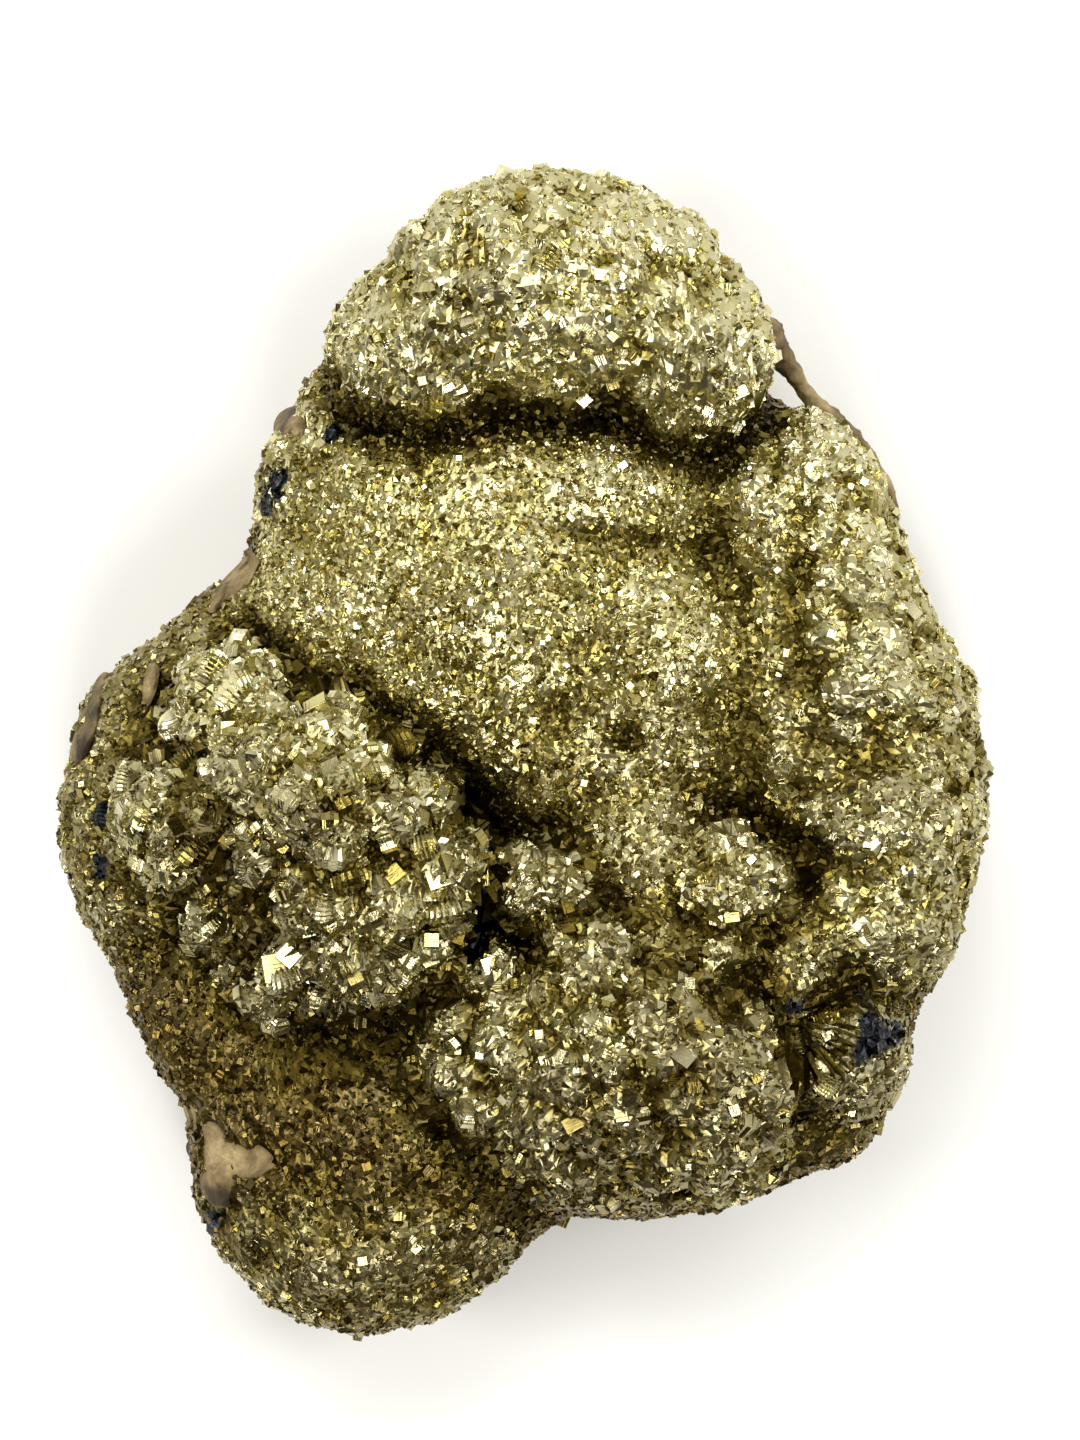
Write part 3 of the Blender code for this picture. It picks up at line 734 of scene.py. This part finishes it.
# %% Many copies of one form as one mesh
def copies(form, picks, place, size, turns, chance, sink, stretch=0.25):
    """corner = place + turn (form x size), for all copies at once.

    Each copy is stretched a little at random along its own axes, and sunk by a share of its size.

    The number for painted shade is high on the corners below the skin and falls to nothing at the tips,
    so that the gaps between the crystals are shaded.
    """
    points, faces, uv = form
    shape = size[:, None] * (1 + stretch * chance.uniform(-1, 1, (len(size), 3)))
    arms = np.einsum("nij,npj->npi", turns, points[None] * shape[:, None, :])
    corners = arms + (place - face_normal[picks] * (size * sink)[:, None])[:, None, :]
    rise = (arms * face_normal[picks][:, None]).sum(-1) / size[:, None]
    first = np.arange(len(size))[:, None, None] * len(points)
    shift = chance.random((len(size), 1, 1, 2)) * 50  # mm, so that no two have the same grooves
    grooves = uv[None] * size[:, None, None, None] + shift
    # Each crystal's shade of brass: random, plus a painted highlight that makes crystals on crests paler
    shade = np.clip(0.8 * chance.random(len(size)) + 0.6 * face_crest_light[picks] - 0.2, 0, 1)
    each = {"tint_and_crest_light": shade, "dark": face_dark[picks], "age": face_age[picks]}
    numbers = {key: np.repeat(values, len(points)) for key, values in each.items()}
    # Painted shade: darker on the corners below the skin and in the creases between crystals
    deep = np.clip(0.42 - 1.5 * rise, 0, 0.9) + 0.7 * face_crease_shade[picks][:, None]
    numbers["crease_shade"] = np.clip(deep, 0, 1).ravel()
    return corners.reshape(-1, 3), (faces[None] + first).reshape(-1, 3), grooves.reshape(-1, 2), numbers


def joined(parts):
    """Several sets of arrays as one set."""
    starts = np.cumsum([0] + [len(part[0]) for part in parts])
    faces = [part[1] + start for part, start in zip(parts, starts)]
    named = {key: np.concatenate([part[3][key] for part in parts]) for key in parts[0][3]}
    return (
        np.concatenate([part[0] for part in parts]), np.concatenate(faces),
        np.concatenate([part[2] for part in parts]), named,
    )


LEAN, SINK = 0.32, 0.1  # how far crystals lean over, and how deep they sit as a share of their size


def grow(kind, cover, seed, share=1.0):
    """Crystals of share times the size of that druse. cover: form and share of the skin it covers."""
    here = np.isclose(face_grain, DRUSE[kind][0])
    parts = []
    for index, (form, part_of_skin) in enumerate(cover.items()):
        size_here = DRUSE[kind][0] * share
        picks, place, chance = seats(here * part_of_skin / size_here**2, seed + index)
        size = size_here * np.exp(chance.normal(size=len(picks)) * 0.28)
        if form == "cube":
            turns = random_turns(len(picks), chance)
        else:
            turns = turns_upright(face_normal[picks], chance, LEAN)
        parts.append(copies(FORMS[form], picks, place, size, turns, chance, SINK))
    return joined(parts)


# %% Grow the druse, kind by kind
FINE = {"cube": 0.3, "corner": 0.8}
BLOCKY = {"cube": 0.1, "corner": 0.5, "pyramid": 0.4, "roof": 0.3}
CRYSTALS = {
    "dust": ({"cube": 0.5, "corner": 0.7}, 100), "thin": (FINE, 110), "pale": (FINE, 115),
    "foot": (FINE, 118), "ridge": (BLOCKY, 120), "head": (BLOCKY, 140), "lower": (BLOCKY, 160),
    "coarse": ({"cube": 0.08, "corner": 0.4, "pyramid": 0.3, "roof": 0.5}, 180),
}
SMALLER = {"coarse": ({"corner": 0.6, "pyramid": 0.3}, 190, 0.6)}  # between the large ones
druse_pieces = []
for kind, settings in CRYSTALS.items():
    parts = [grow(kind, *settings)]
    if kind in SMALLER:
        parts.append(grow(kind, *SMALLER[kind]))
    druse_pieces.append(mesh_object(kind + "_druse", *joined(parts)))

# %% [markdown]
# ## Sheaves
# In many places the crystals of a knob have grown side by side, like the pages of a book that is
# opened at its outer edge, and the knob is ribbed like a folded fan. Such a sheaf is a ball whose
# radius goes in and out from ring to ring. It is wider at the top than at its root, and is flattened.

# %% One sheaf and where the sheaves are
def sheaf_form(ribs=11, around=14):
    """Ring t, turn a: x = -cos t, (y, z) = sin(t)^0.6 (1 or 0.88) (cos a, sin a); x splayed by z."""
    t = np.linspace(0, math.pi, 2 * ribs + 1)[1:-1]
    a = np.linspace(0, math.tau, around, endpoint=False)
    rib = np.where(np.arange(len(t)) % 2 == 0, 1.0, 0.88)
    radius = (np.sin(t) ** 0.6 * rib)[:, None]
    x = -np.cos(t)[:, None] * np.ones_like(a)
    y, z = radius * np.cos(a), radius * np.sin(a)
    rings = np.stack([x * (0.75 + 0.35 * z), y * 0.8, z], -1) * 0.5
    return with_grooves(with_poles(rings), closed_faces(*rings.shape[:2]))


def sheaf_turns(normals, degrees):
    """Third axis along the normal, first axis as near as can be to the direction in the x-y plane."""
    ahead = np.stack([np.cos(np.radians(degrees)), np.sin(np.radians(degrees)), 0 * degrees], -1)
    side = unit(np.cross(normals, ahead))
    return np.stack([np.cross(side, normals), side, normals], -1)


# %% Grow the sheaves
small_sheaf = sheaf_form(ribs=5, around=6)  # there are hundreds of these, so each has few faces
parts = [copies(
    sheaf_form(), sheaf_picks, sheaf_places, sheaf_table[:, 2],
    sheaf_turns(face_normal[sheaf_picks], sheaf_table[:, 3]), np.random.default_rng(70), sink=0.1,
)]
for index, (kind, every, width) in enumerate(
    (("coarse", 7.0, 1.5), ("lower", 11.0, 1.2), ("head", 16.0, 1.1), ("ridge", 16.0, 1.2))
):
    here = np.isclose(face_grain, DRUSE[kind][0]) / every
    picks, place, chance = seats(here, 300 + index)
    size = width * np.exp(chance.normal(size=len(picks)) * 0.2)
    turns = turns_upright(face_normal[picks], chance, 0.25)
    parts.append(copies(small_sheaf, picks, place, size, turns, chance, sink=0.18))
druse_pieces.append(mesh_object("ribbed_sheaves", *joined(parts)))

# %% [markdown]
# ## Blades and bright crystals
# On the corner mound long thin crystals spread from one point, like the ribs of a shell. At the foot
# of the left mound a few crystals are larger than the rest and lie so that their upper faces mirror
# the lamp. Both kinds are set one by one: a table or a formula gives their places.

# %% Blades that spread from one point
BLADE_ROOT = (14.8, -14.6)  # in mm
blade_number = np.arange(34)
blade_angle = np.radians(-100 + 125 * (blade_number % 17) / 16)
blade_reach = np.where(blade_number < 17, 1.5, 3.2)
blade_places = np.array(BLADE_ROOT) + blade_reach[:, None] * np.stack(
    [np.cos(blade_angle), np.sin(blade_angle)], 1
)
blade_picks = nearest_faces(blade_places)
roof_points, roof_faces, _ = FORMS["roof"]
blades = copies(
    with_grooves(roof_points * (1.5, 0.42, 0.7), roof_faces), blade_picks,
    face_points[blade_picks].mean(1), np.where(blade_number < 17, 1.15, 1.35),
    sheaf_turns(face_normal[blade_picks], np.degrees(blade_angle)), np.random.default_rng(81),
    sink=-0.08,
)

# %% Bright crystals whose upper faces mirror the lamp
# x, y, edge and spin in degrees.
BRIGHT = np.array((
    (-13.4, -12.0, 1.3, 10), (-12.6, -13.0, 1.0, 35), (-11.2, -13.0, 1.5, -12),
    (-10.4, -14.6, 1.5, 4), (-11.6, -14.4, 0.9, 30), (-12.9, -11.0, 1.0, 50), (-4.6, -7.0, 1.2, 20),
    (-7.0, -6.6, 1.0, 40), (-3.4, 19.9, 0.7, 20), (2.6, -20.6, 0.9, 30), (5.2, -19.8, 0.8, 12),
    (0.4, -24.4, 0.9, 25), (4.8, -25.0, 0.9, 40),
))
TO_LAMP = np.array([-0.08, 0.28, 0.96])  # halfway between straight up and the main lamp
bright_picks = nearest_faces(BRIGHT[:, :2])
bright = copies(
    FORMS["cube"], bright_picks, face_points[bright_picks].mean(1), BRIGHT[:, 2],
    sheaf_turns(np.tile(TO_LAMP, (len(BRIGHT), 1)), BRIGHT[:, 3]), np.random.default_rng(82),
    sink=0.18,
)
druse_pieces.append(mesh_object("blades_and_bright_crystals", *joined([blades, bright])))

# %% [markdown]
# ## The rock
# The matrix is fine-grained tan rock. It is broken flat underneath, so that the specimen lies still,
# and it shows at the sides below the crust, in worn patches and as a thin bridge beside a small
# natural hole. The body is a profile carried round the outline; each patch is a flat pillow set into
# the skin; the bridge is a tapering tube along a short curve.

# %% The rock's body
ROCK_OUTLINE = np.array((
    (1.0, 29.5), (8.5, 27.5), (12.0, 24.4), (12.9, 22.0), (13.0, 19.6), (15.4, 18.0),
    (18.8, 15.6), (20.0, 10.0), (22.4, 4.0), (23.8, -1.0), (23.2, -7.0), (20.8, -14.0),
    (18.2, -20.6), (10.0, -23.4), (1.0, -24.6), (-4.0, -29.0), (-10.0, -30.4), (-15.6, -27.4),
    (-18.0, -24.2), (-18.2, -20.4), (-19.8, -15.0), (-22.8, -8.0), (-24.0, -1.0),
    (-24.0, 2.8), (-20.6, 6.4), (-17.0, 9.8), (-15.0, 12.2), (-14.2, 17.2), (-12.0, 20.2),
    (-8.0, 25.0),
))
ROCK_PROFILE = (  # share of the outline, level in mm
    (0.05, 0.0), (0.5, 0.0), (0.84, 0.0), (0.90, 0.1), (0.93, 0.7), (0.955, 1.8), (0.985, 3.2),
    (1.0, 4.6), (1.0, 6.4), (0.97, 8.0), (0.9, 9.0), (0.5, 9.2), (0.05, 9.2),
)


def rock_body(columns=480, rows=64):
    """Point(angle, t) = outline(angle) x share(t) at level(t), pushed about by swells."""
    angle = np.linspace(0, math.tau, columns, endpoint=False)[None, :]
    profile = np.array(ROCK_PROFILE)
    lengths = np.hypot(*(np.diff(profile * (25, 1), axis=0)).T)
    at = np.concatenate([[0], np.cumsum(lengths)]) / lengths.sum()
    t = np.linspace(0, 1, rows)[:, None] + 0 * angle
    share, level = np.interp(t, at, profile[:, 0]), np.interp(t, at, profile[:, 1])
    radius = outline_radius(angle, outline_table(ROCK_OUTLINE)) * share
    points = np.stack([radius * np.cos(angle), radius * np.sin(angle), level], -1)
    push = swells(points, 3.2, 41) * 0.7 + swells(points, 1.1, 42) * 0.35
    push += swells(points, 0.45, 43) * 0.14
    free = np.clip(level, 0, 1) * np.clip(share * 3 - 1.5, 0, 1) * push
    points[..., 0] += np.cos(angle) * free
    points[..., 1] += np.sin(angle) * free
    points[..., 2] += np.clip(level - 6, 0, 1) * push * 0.4
    return points


body = rock_body()
rock_parts = [(with_poles(body), closed_faces(*body.shape[:2]))]
print("rock body in mm:", body.min((0, 1)).round(1), body.max((0, 1)).round(1))

# %% The patches that show through the crust
def skin_at(x, y, smooth=1.5):
    """Level of the skin at x, y, between the four nearest of a map with cells of 0.4 mm."""
    flat, step, west, south = slow_points.reshape(-1, 3), 0.4, -30, -36
    column = np.round((flat[:, 0] - west) / step).astype(int)
    row = np.round((flat[:, 1] - south) / step).astype(int)
    levels = np.full((190, 160), -1.0)
    np.maximum.at(levels, (row, column), flat[:, 2])
    levels[levels < 0] = 9.0
    levels = blurred(levels, smooth)
    r, c = (y - south) / step, (x - west) / step
    r0, c0 = np.floor(r).astype(int), np.floor(c).astype(int)
    fr, fc = r - r0, c - c0
    low = levels[r0, c0] * (1 - fc) + levels[r0, c0 + 1] * fc
    high = levels[r0 + 1, c0] * (1 - fc) + levels[r0 + 1, c0 + 1] * fc
    return low * (1 - fr) + high * fr


PATCH_SPREAD, PATCH_DEPTH = 1.4, 2.2  # wider than the bare spot, and how far it reaches down in mm


def rock_patch(x, y, along, across, turn, rows=44, around=110):
    """A pillow: radius sin(t), its lower half 2 mm below the skin and its upper half just above."""
    t = np.linspace(0.03, math.pi - 0.03, rows)[:, None]
    angle = np.linspace(0, math.tau, around, endpoint=False)[None, :]
    cos_t, sin_t = math.cos(math.radians(turn)), math.sin(math.radians(turn))
    ring = np.sin(t) ** 0.8
    east = ring * np.cos(angle) * along * PATCH_SPREAD
    north = ring * np.sin(angle) * across * PATCH_SPREAD
    px, py = x + east * cos_t - north * sin_t, y + east * sin_t + north * cos_t
    points = np.stack([px, py, skin_at(px, py)], -1)
    edge = ring * (1 + 0.25 * swells(points, 1.3, 51))
    rough = swells(points, 0.9, 52) * 0.20 + swells(points, 0.35, 53) * 0.12
    step = 0.35 * np.clip(4 * swells(points, 1.6, 54), -1, 1)
    top = 0.10 + rough + step - 2.4 * np.clip(edge - 0.62, 0, 1) ** 1.2
    points[..., 2] += np.where(t > math.pi / 2, top, -PATCH_DEPTH)
    return points


for spot in BARE_ROCK:
    patch = rock_patch(*spot)
    rock_parts.append((with_poles(patch), closed_faces(*patch.shape[:2])))

# %% The bridge beside the small hole
BRIDGE = np.array((  # x, y, z and half width in mm
    (12.0, 25.4, 12.4, 0.8), (13.1, 24.2, 12.4, 0.9), (14.0, 23.0, 12.2, 0.9),
    (14.8, 22.0, 11.8, 0.66), (15.6, 20.8, 11.4, 0.38), (16.6, 19.6, 11.3, 0.50),
    (17.8, 18.3, 11.4, 0.62), (19.1, 16.9, 11.4, 0.60), (20.3, 15.2, 11.2, 0.55),
    (21.2, 13.2, 10.8, 0.45),
))


def bridge_tube(along=90, around=28):
    """A circle of radius r(t) carried along the curve x(t), y(t), z(t), roughened by swells."""
    knots, t = np.linspace(0, 1, len(BRIDGE)), np.linspace(0, 1, along)
    line = np.stack([np.interp(t, knots, BRIDGE[:, i]) for i in range(4)], -1)
    forward = unit(np.gradient(line[:, :3], axis=0))
    side = unit(np.cross(forward, (0, 0, 1.0)))
    up = np.cross(side, forward)
    turn = np.linspace(0, -math.tau, around, endpoint=False)[None, :, None]
    radius = line[:, None, 3:4] * np.sin(np.clip(t * 16, 0.1, math.pi / 2))[:, None, None]
    radius = radius * np.sin(np.clip((1 - t) * 16, 0.1, math.pi / 2))[:, None, None]
    ring = side[:, None] * np.cos(turn) + up[:, None] * np.sin(turn) * 1.5
    points = line[:, None, :3] + ring * radius
    rough = swells(points, 0.8, 61) * 0.35 + swells(points, 0.3, 62) * 0.20
    return points + ring * radius * rough[..., None]


tube = bridge_tube()
rock_parts.append((with_poles(tube), closed_faces(*tube.shape[:2])))
firsts = np.cumsum([0] + [len(points) for points, _ in rock_parts])
rock_points = np.concatenate([points for points, _ in rock_parts])
rock_faces = np.concatenate([faces + first for (_, faces), first in zip(rock_parts, firsts)])
matrix_piece = mesh_object("tan_matrix_rock", rock_points, rock_faces, smooth=True)

# %% [markdown]
# ## Finishes
# Pyrite is a metal-like mineral: brass yellow, with nearly all its colour in the mirror reflection.
# A crystal that has lain in air gets a thin tarnish that takes it towards olive and brown. The creases
# and the gaps between crystals are darkened as painted shade. The rock is dull and grainy. Colours
# are written as sRGB hex values, and one function turns them to the linear values that the shader needs.

# %% Helpers for materials
def linear(code):
    """sRGB hex to linear: ((c + 0.055) / 1.055) to the power 2.4, or c / 12.92 when dark."""
    parts = [int(code[i:i + 2], 16) / 255 for i in (1, 3, 5)]
    return [c / 12.92 if c <= 0.04045 else ((c + 0.055) / 1.055) ** 2.4 for c in parts] + [1.0]


def pattern_scale(size):
    """The noise scale that makes one wave that many millimetres long."""
    return 1 / (size * MM)


def new_finish(name):
    """A new material, its nodes and its shader."""
    material = bpy.data.materials.new(name)
    material.use_nodes = True
    tree = material.node_tree
    return material, tree, tree.nodes["Principled BSDF"]


def add(tree, kind, settings=None, values=None, links=None):
    """Adds one node with its settings, its socket values and its incoming links."""
    node = tree.nodes.new("ShaderNode" + kind)
    for key, value in (settings or {}).items():
        setattr(node, key, value)
    for key, value in (values or {}).items():
        node.inputs[key].default_value = value
    for key, source in (links or {}).items():
        tree.links.new(source, node.inputs[key])
    return node


def ramp_colours(node, stops):
    """Sets a ColorRamp's stops from (position, hex colour) pairs."""
    elements = node.color_ramp.elements
    while len(elements) < len(stops):
        elements.new(0.5)
    for element, (position, code) in zip(elements, stops):
        element.position = position
        element.color = linear(code)


# %% [markdown]
# ### Pyrite
# Grown, not polished: each face is a mirror, but a grooved and slightly tarnished one. One material
# serves skin and crystals. One number gives every crystal its own shade of brass and makes knob
# crests paler, which is a painted highlight; another paints shade into the creases and the gaps
# between crystals; "age" browns the old druse on the slope, and "dark" marks spots of blue-black
# tarnish. Two bumps break up the mirrors: waves about 0.28 mm long, as grown faces are
# never quite flat, and grooves across each face. Real grooves are about 0.02 mm apart; here they are
# 0.09 mm, so that they show.

# %% Drusy pyrite
GROOVES = (11.0, 0.7, 1.0)  # waves in a millimetre across the grooves and along them
BUMP_DEPTH = 0.06 * MM  # of the waves and of the grooves
BROWN_FROM, BROWN_TO = 12 * MM, -22 * MM  # the old crust browns from here towards the wide end


def drusy_pyrite(name, grooves, roughness):
    """Brass ramp, paler on knob crests as a painted highlight, browned by age, darkened in creases and
    between crystals as painted shade, then spotted; rougher where worn.
    """
    material, tree, shader = new_finish(name)
    tint_and_crest_light, crease_shade, dark, age = (
        add(tree, "Attribute", {"attribute_name": key}).outputs["Fac"]
        for key in ("tint_and_crest_light", "crease_shade", "dark", "age")
    )
    place = add(tree, "TexCoord").outputs["Object"]
    # The pale end of this ramp falls on knob crests: a painted highlight
    shade = add(tree, "ValToRGB", links={"Fac": tint_and_crest_light})
    ramp_colours(shade, [(0.0, "#72642A"), (0.35, "#AC9F59"), (0.7, "#D6CE99"), (1.0, "#E8E1B9")])
    clouds = add(
        tree, "TexNoise", values={"Scale": pattern_scale(25 / 3), "Detail": 3.0},
        links={"Vector": place},
    ).outputs["Fac"]
    far_end = add(tree, "SeparateXYZ", links={"Vector": place}).outputs["Y"]
    towards = add(tree, "MapRange", values={
        "From Min": BROWN_FROM, "From Max": BROWN_TO}, links={"Value": far_end}).outputs[0]
    patchy = add(tree, "Math", {"operation": "MULTIPLY_ADD"}, {1: 0.5}, {
        0: towards, 2: clouds})
    browned = add(tree, "MapRange", values={"From Min": 0.45, "From Max": 1.3}, links={
        "Value": patchy.outputs[0]}).outputs[0]
    most = add(tree, "Math", {"operation": "MAXIMUM"}, {}, {0: browned, 1: age})
    colour = shade.outputs["Color"]
    # Browned by age, then painted shade in the creases and between the crystals, then blue-black tarnish
    # spots
    for amount, code in ((most.outputs[0], "#57451C"), (crease_shade, "#423714"), (dark, "#24262B")):
        colour = add(tree, "Mix", {"data_type": "RGBA", "clamp_factor": True}, {
            7: linear(code)}, {0: amount, 6: colour}).outputs[2]
    tree.links.new(colour, shader.inputs["Base Color"])
    shader.inputs["Metallic"].default_value = 1.0
    worn = add(tree, "Math", {"operation": "MULTIPLY_ADD"}, {1: 0.25}, {0: age, 2: crease_shade})
    dull = add(tree, "MapRange", values={"To Min": roughness, "To Max": 0.40}, links={
        "Value": worn.outputs[0]})
    tree.links.new(dull.outputs[0], shader.inputs["Roughness"])
    uneven = add(tree, "TexNoise", values={"Scale": pattern_scale(5 / 18), "Detail": 2.0}, links={
        "Vector": place})
    waves = add(tree, "Bump", values={"Strength": 0.35, "Distance": BUMP_DEPTH}, links={
        "Height": uneven.outputs["Fac"]})
    tree.links.new(waves.outputs["Normal"], shader.inputs["Normal"])
    if grooves:
        uv = add(tree, "UVMap", {"uv_map": "grain"}).outputs["UV"]
        lines = add(tree, "Mapping", values={"Scale": GROOVES}, links={
            "Vector": uv})
        fine = add(tree, "TexNoise", {"noise_dimensions": "2D"}, {
            "Scale": 1.0, "Detail": 2.0}, {"Vector": lines.outputs[0]})
        bump = add(tree, "Bump", values={"Strength": 0.4, "Distance": BUMP_DEPTH}, links={
            "Height": fine.outputs["Fac"], "Normal": waves.outputs["Normal"]})
        tree.links.new(bump.outputs["Normal"], shader.inputs["Normal"])
    return material


# %% Matrix rock
def broken_rock(name):
    """Fine-grained rock, broken and worn: matt, with grains of 0.3 mm and brown stains."""
    material, tree, shader = new_finish(name)
    place = add(tree, "TexCoord").outputs["Object"]
    stain = add(tree, "TexNoise", values={"Scale": pattern_scale(50 / 21), "Detail": 5.0}, links={
        "Vector": place})
    tone = add(tree, "ValToRGB", links={"Fac": stain.outputs["Fac"]})
    ramp_colours(tone, [
        (0.36, "#3A2F1A"), (0.46, "#665536"), (0.56, "#83704B"), (0.70, "#A6936A"),
    ])
    grain = add(tree, "TexNoise", values={"Scale": pattern_scale(5 / 16), "Detail": 3.0}, links={
        "Vector": place})
    speck = add(tree, "Mix", {"data_type": "RGBA", "blend_type": "OVERLAY"}, {0: 0.5}, {
        6: tone.outputs["Color"], 7: grain.outputs["Fac"]})
    tree.links.new(speck.outputs[2], shader.inputs["Base Color"])
    shader.inputs["Roughness"].default_value = 0.88
    bump = add(tree, "Bump", values={"Strength": 0.6, "Distance": 0.2 * MM}, links={
        "Height": grain.outputs["Fac"]})
    tree.links.new(bump.outputs["Normal"], shader.inputs["Normal"])
    return material


# %% Give each piece its finish and its place in the model
skin_finish = drusy_pyrite("drusy pyrite skin", grooves=False, roughness=0.24)
crystal_finish = drusy_pyrite("grooved pyrite crystals", grooves=True, roughness=0.14)
rock_finish = broken_rock("broken tan rock")
crust_skin.data.materials.append(skin_finish)
for piece in druse_pieces:
    piece.data.materials.append(crystal_finish)
matrix_piece.data.materials.append(rock_finish)
for piece in [crust_skin, *druse_pieces]:
    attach(piece, "root")
    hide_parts("pyrite_crust")
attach(matrix_piece, "root")
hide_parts("matrix_rock")
print("pieces placed:", 2 + len(druse_pieces))

# %% [markdown]
# ## The studio
# A white table, a large soft box behind the specimen's narrow end and three smaller ones round it.
# Flat metal faces show what they mirror, so what is between the boxes matters as much: a tent that is
# pale behind and dim in front. Faces that mirror a box flash, those that mirror the pale side shine
# brassy, and the others stay olive.

# %% Floor
floor_mesh = bpy.data.meshes.new("white_table")
floor_mesh.from_pydata(
    [(-1.5, -1.5, 0), (1.5, -1.5, 0), (1.5, 1.5, 0), (-1.5, 1.5, 0)], [], [(0, 1, 2, 3)]
)
floor = bpy.data.objects.new("white_table", floor_mesh)
bpy.context.scene.collection.objects.link(floor)
floor_finish, _, floor_shader = new_finish("white paper")
floor_shader.inputs["Base Color"].default_value = linear("#F6F6F5")
floor_shader.inputs["Roughness"].default_value = 0.9
floor_shader.inputs["Specular IOR Level"].default_value = 0.1
floor_mesh.materials.append(floor_finish)

# %% Lights
def soft_box(name, place, size, watts):
    """A square area light at a place in metres, turned to face the specimen."""
    lamp = bpy.data.lights.new(name, "AREA")
    lamp.shape = "SQUARE"
    lamp.size = size
    lamp.energy = watts
    obj = bpy.data.objects.new(name, lamp)
    obj.location = place
    way = -np.array(place)
    obj.rotation_euler = (
        math.acos(-way[2] / np.linalg.norm(way)), 0, math.atan2(way[1], way[0]) - math.pi / 2
    )
    bpy.context.scene.collection.objects.link(obj)
    return obj


soft_box("main box", (-0.12, 0.40, 0.62), 0.36, 2.7)
soft_box("left box", (-0.55, -0.05, 0.45), 0.22, 1.7)
soft_box("right box", (0.50, 0.10, 0.50), 0.22, 1.4)
soft_box("front box", (0.05, -0.40, 0.60), 0.24, 2.6)

# %% The tent round the table: pale and bright behind the narrow end, warm and dim in front
world = bpy.data.worlds.new("studio tent")
bpy.context.scene.world = world
world.use_nodes = True
tent = world.node_tree
ray = add(tent, "TexCoord").outputs["Generated"]
behind = add(
    tent, "VectorMath", {"operation": "DOT_PRODUCT"}, {1: (0.34, 0.94, 0)}, {0: ray}
).outputs["Value"]
half = add(tent, "Math", {"operation": "MULTIPLY_ADD"}, {1: 0.5, 2: 0.5}, {0: behind})
tone = add(tent, "ValToRGB", links={"Fac": half.outputs[0]})
ramp_colours(tone, [(0.10, "#322B0F"), (0.46, "#54491B"), (0.67, "#C4C2AC"), (0.9, "#FFFFFF")])
tent.links.new(tone.outputs["Color"], tent.nodes["Background"].inputs["Color"])
tent.nodes["Background"].inputs["Strength"].default_value = 1.3

# %% [markdown]
# ## The camera
# The photograph looks straight at the drusy face. The specimen lies on its back here, so the camera
# looks straight down. A pixel of the photograph is 0.056 mm on the specimen, and the frame is 1440
# pixels high, so the frame shows 80.6 mm at the height of the crust's middle.

# %% Camera
PIXEL = 0.056 * MM
PICTURE_MIDDLE = (540, 720)  # in the photograph's pixels, counted from its upper left
SPECIMEN_MIDDLE = (523, 753)
FRAME_HEIGHT = 1440 * PIXEL
CAMERA_RISE = 0.38
FOCUS_LEVEL = 14 * MM
SENSOR = 24.0
camera_data = bpy.data.cameras.new("camera")
camera_data.sensor_fit = "VERTICAL"
camera_data.sensor_height = SENSOR
camera_data.lens = SENSOR * (CAMERA_RISE - FOCUS_LEVEL) / FRAME_HEIGHT
camera_data.clip_start = 0.01
camera = bpy.data.objects.new("camera", camera_data)
bpy.context.scene.collection.objects.link(camera)
camera.location = (
    (PICTURE_MIDDLE[0] - SPECIMEN_MIDDLE[0]) * PIXEL + MIDDLE[0] * MM,
    (SPECIMEN_MIDDLE[1] - PICTURE_MIDDLE[1]) * PIXEL + MIDDLE[1] * MM,
    CAMERA_RISE,
)
bpy.context.scene.camera = camera
bpy.context.scene.view_settings.view_transform = "Standard"
print("lens", round(camera_data.lens, 1), "mm")
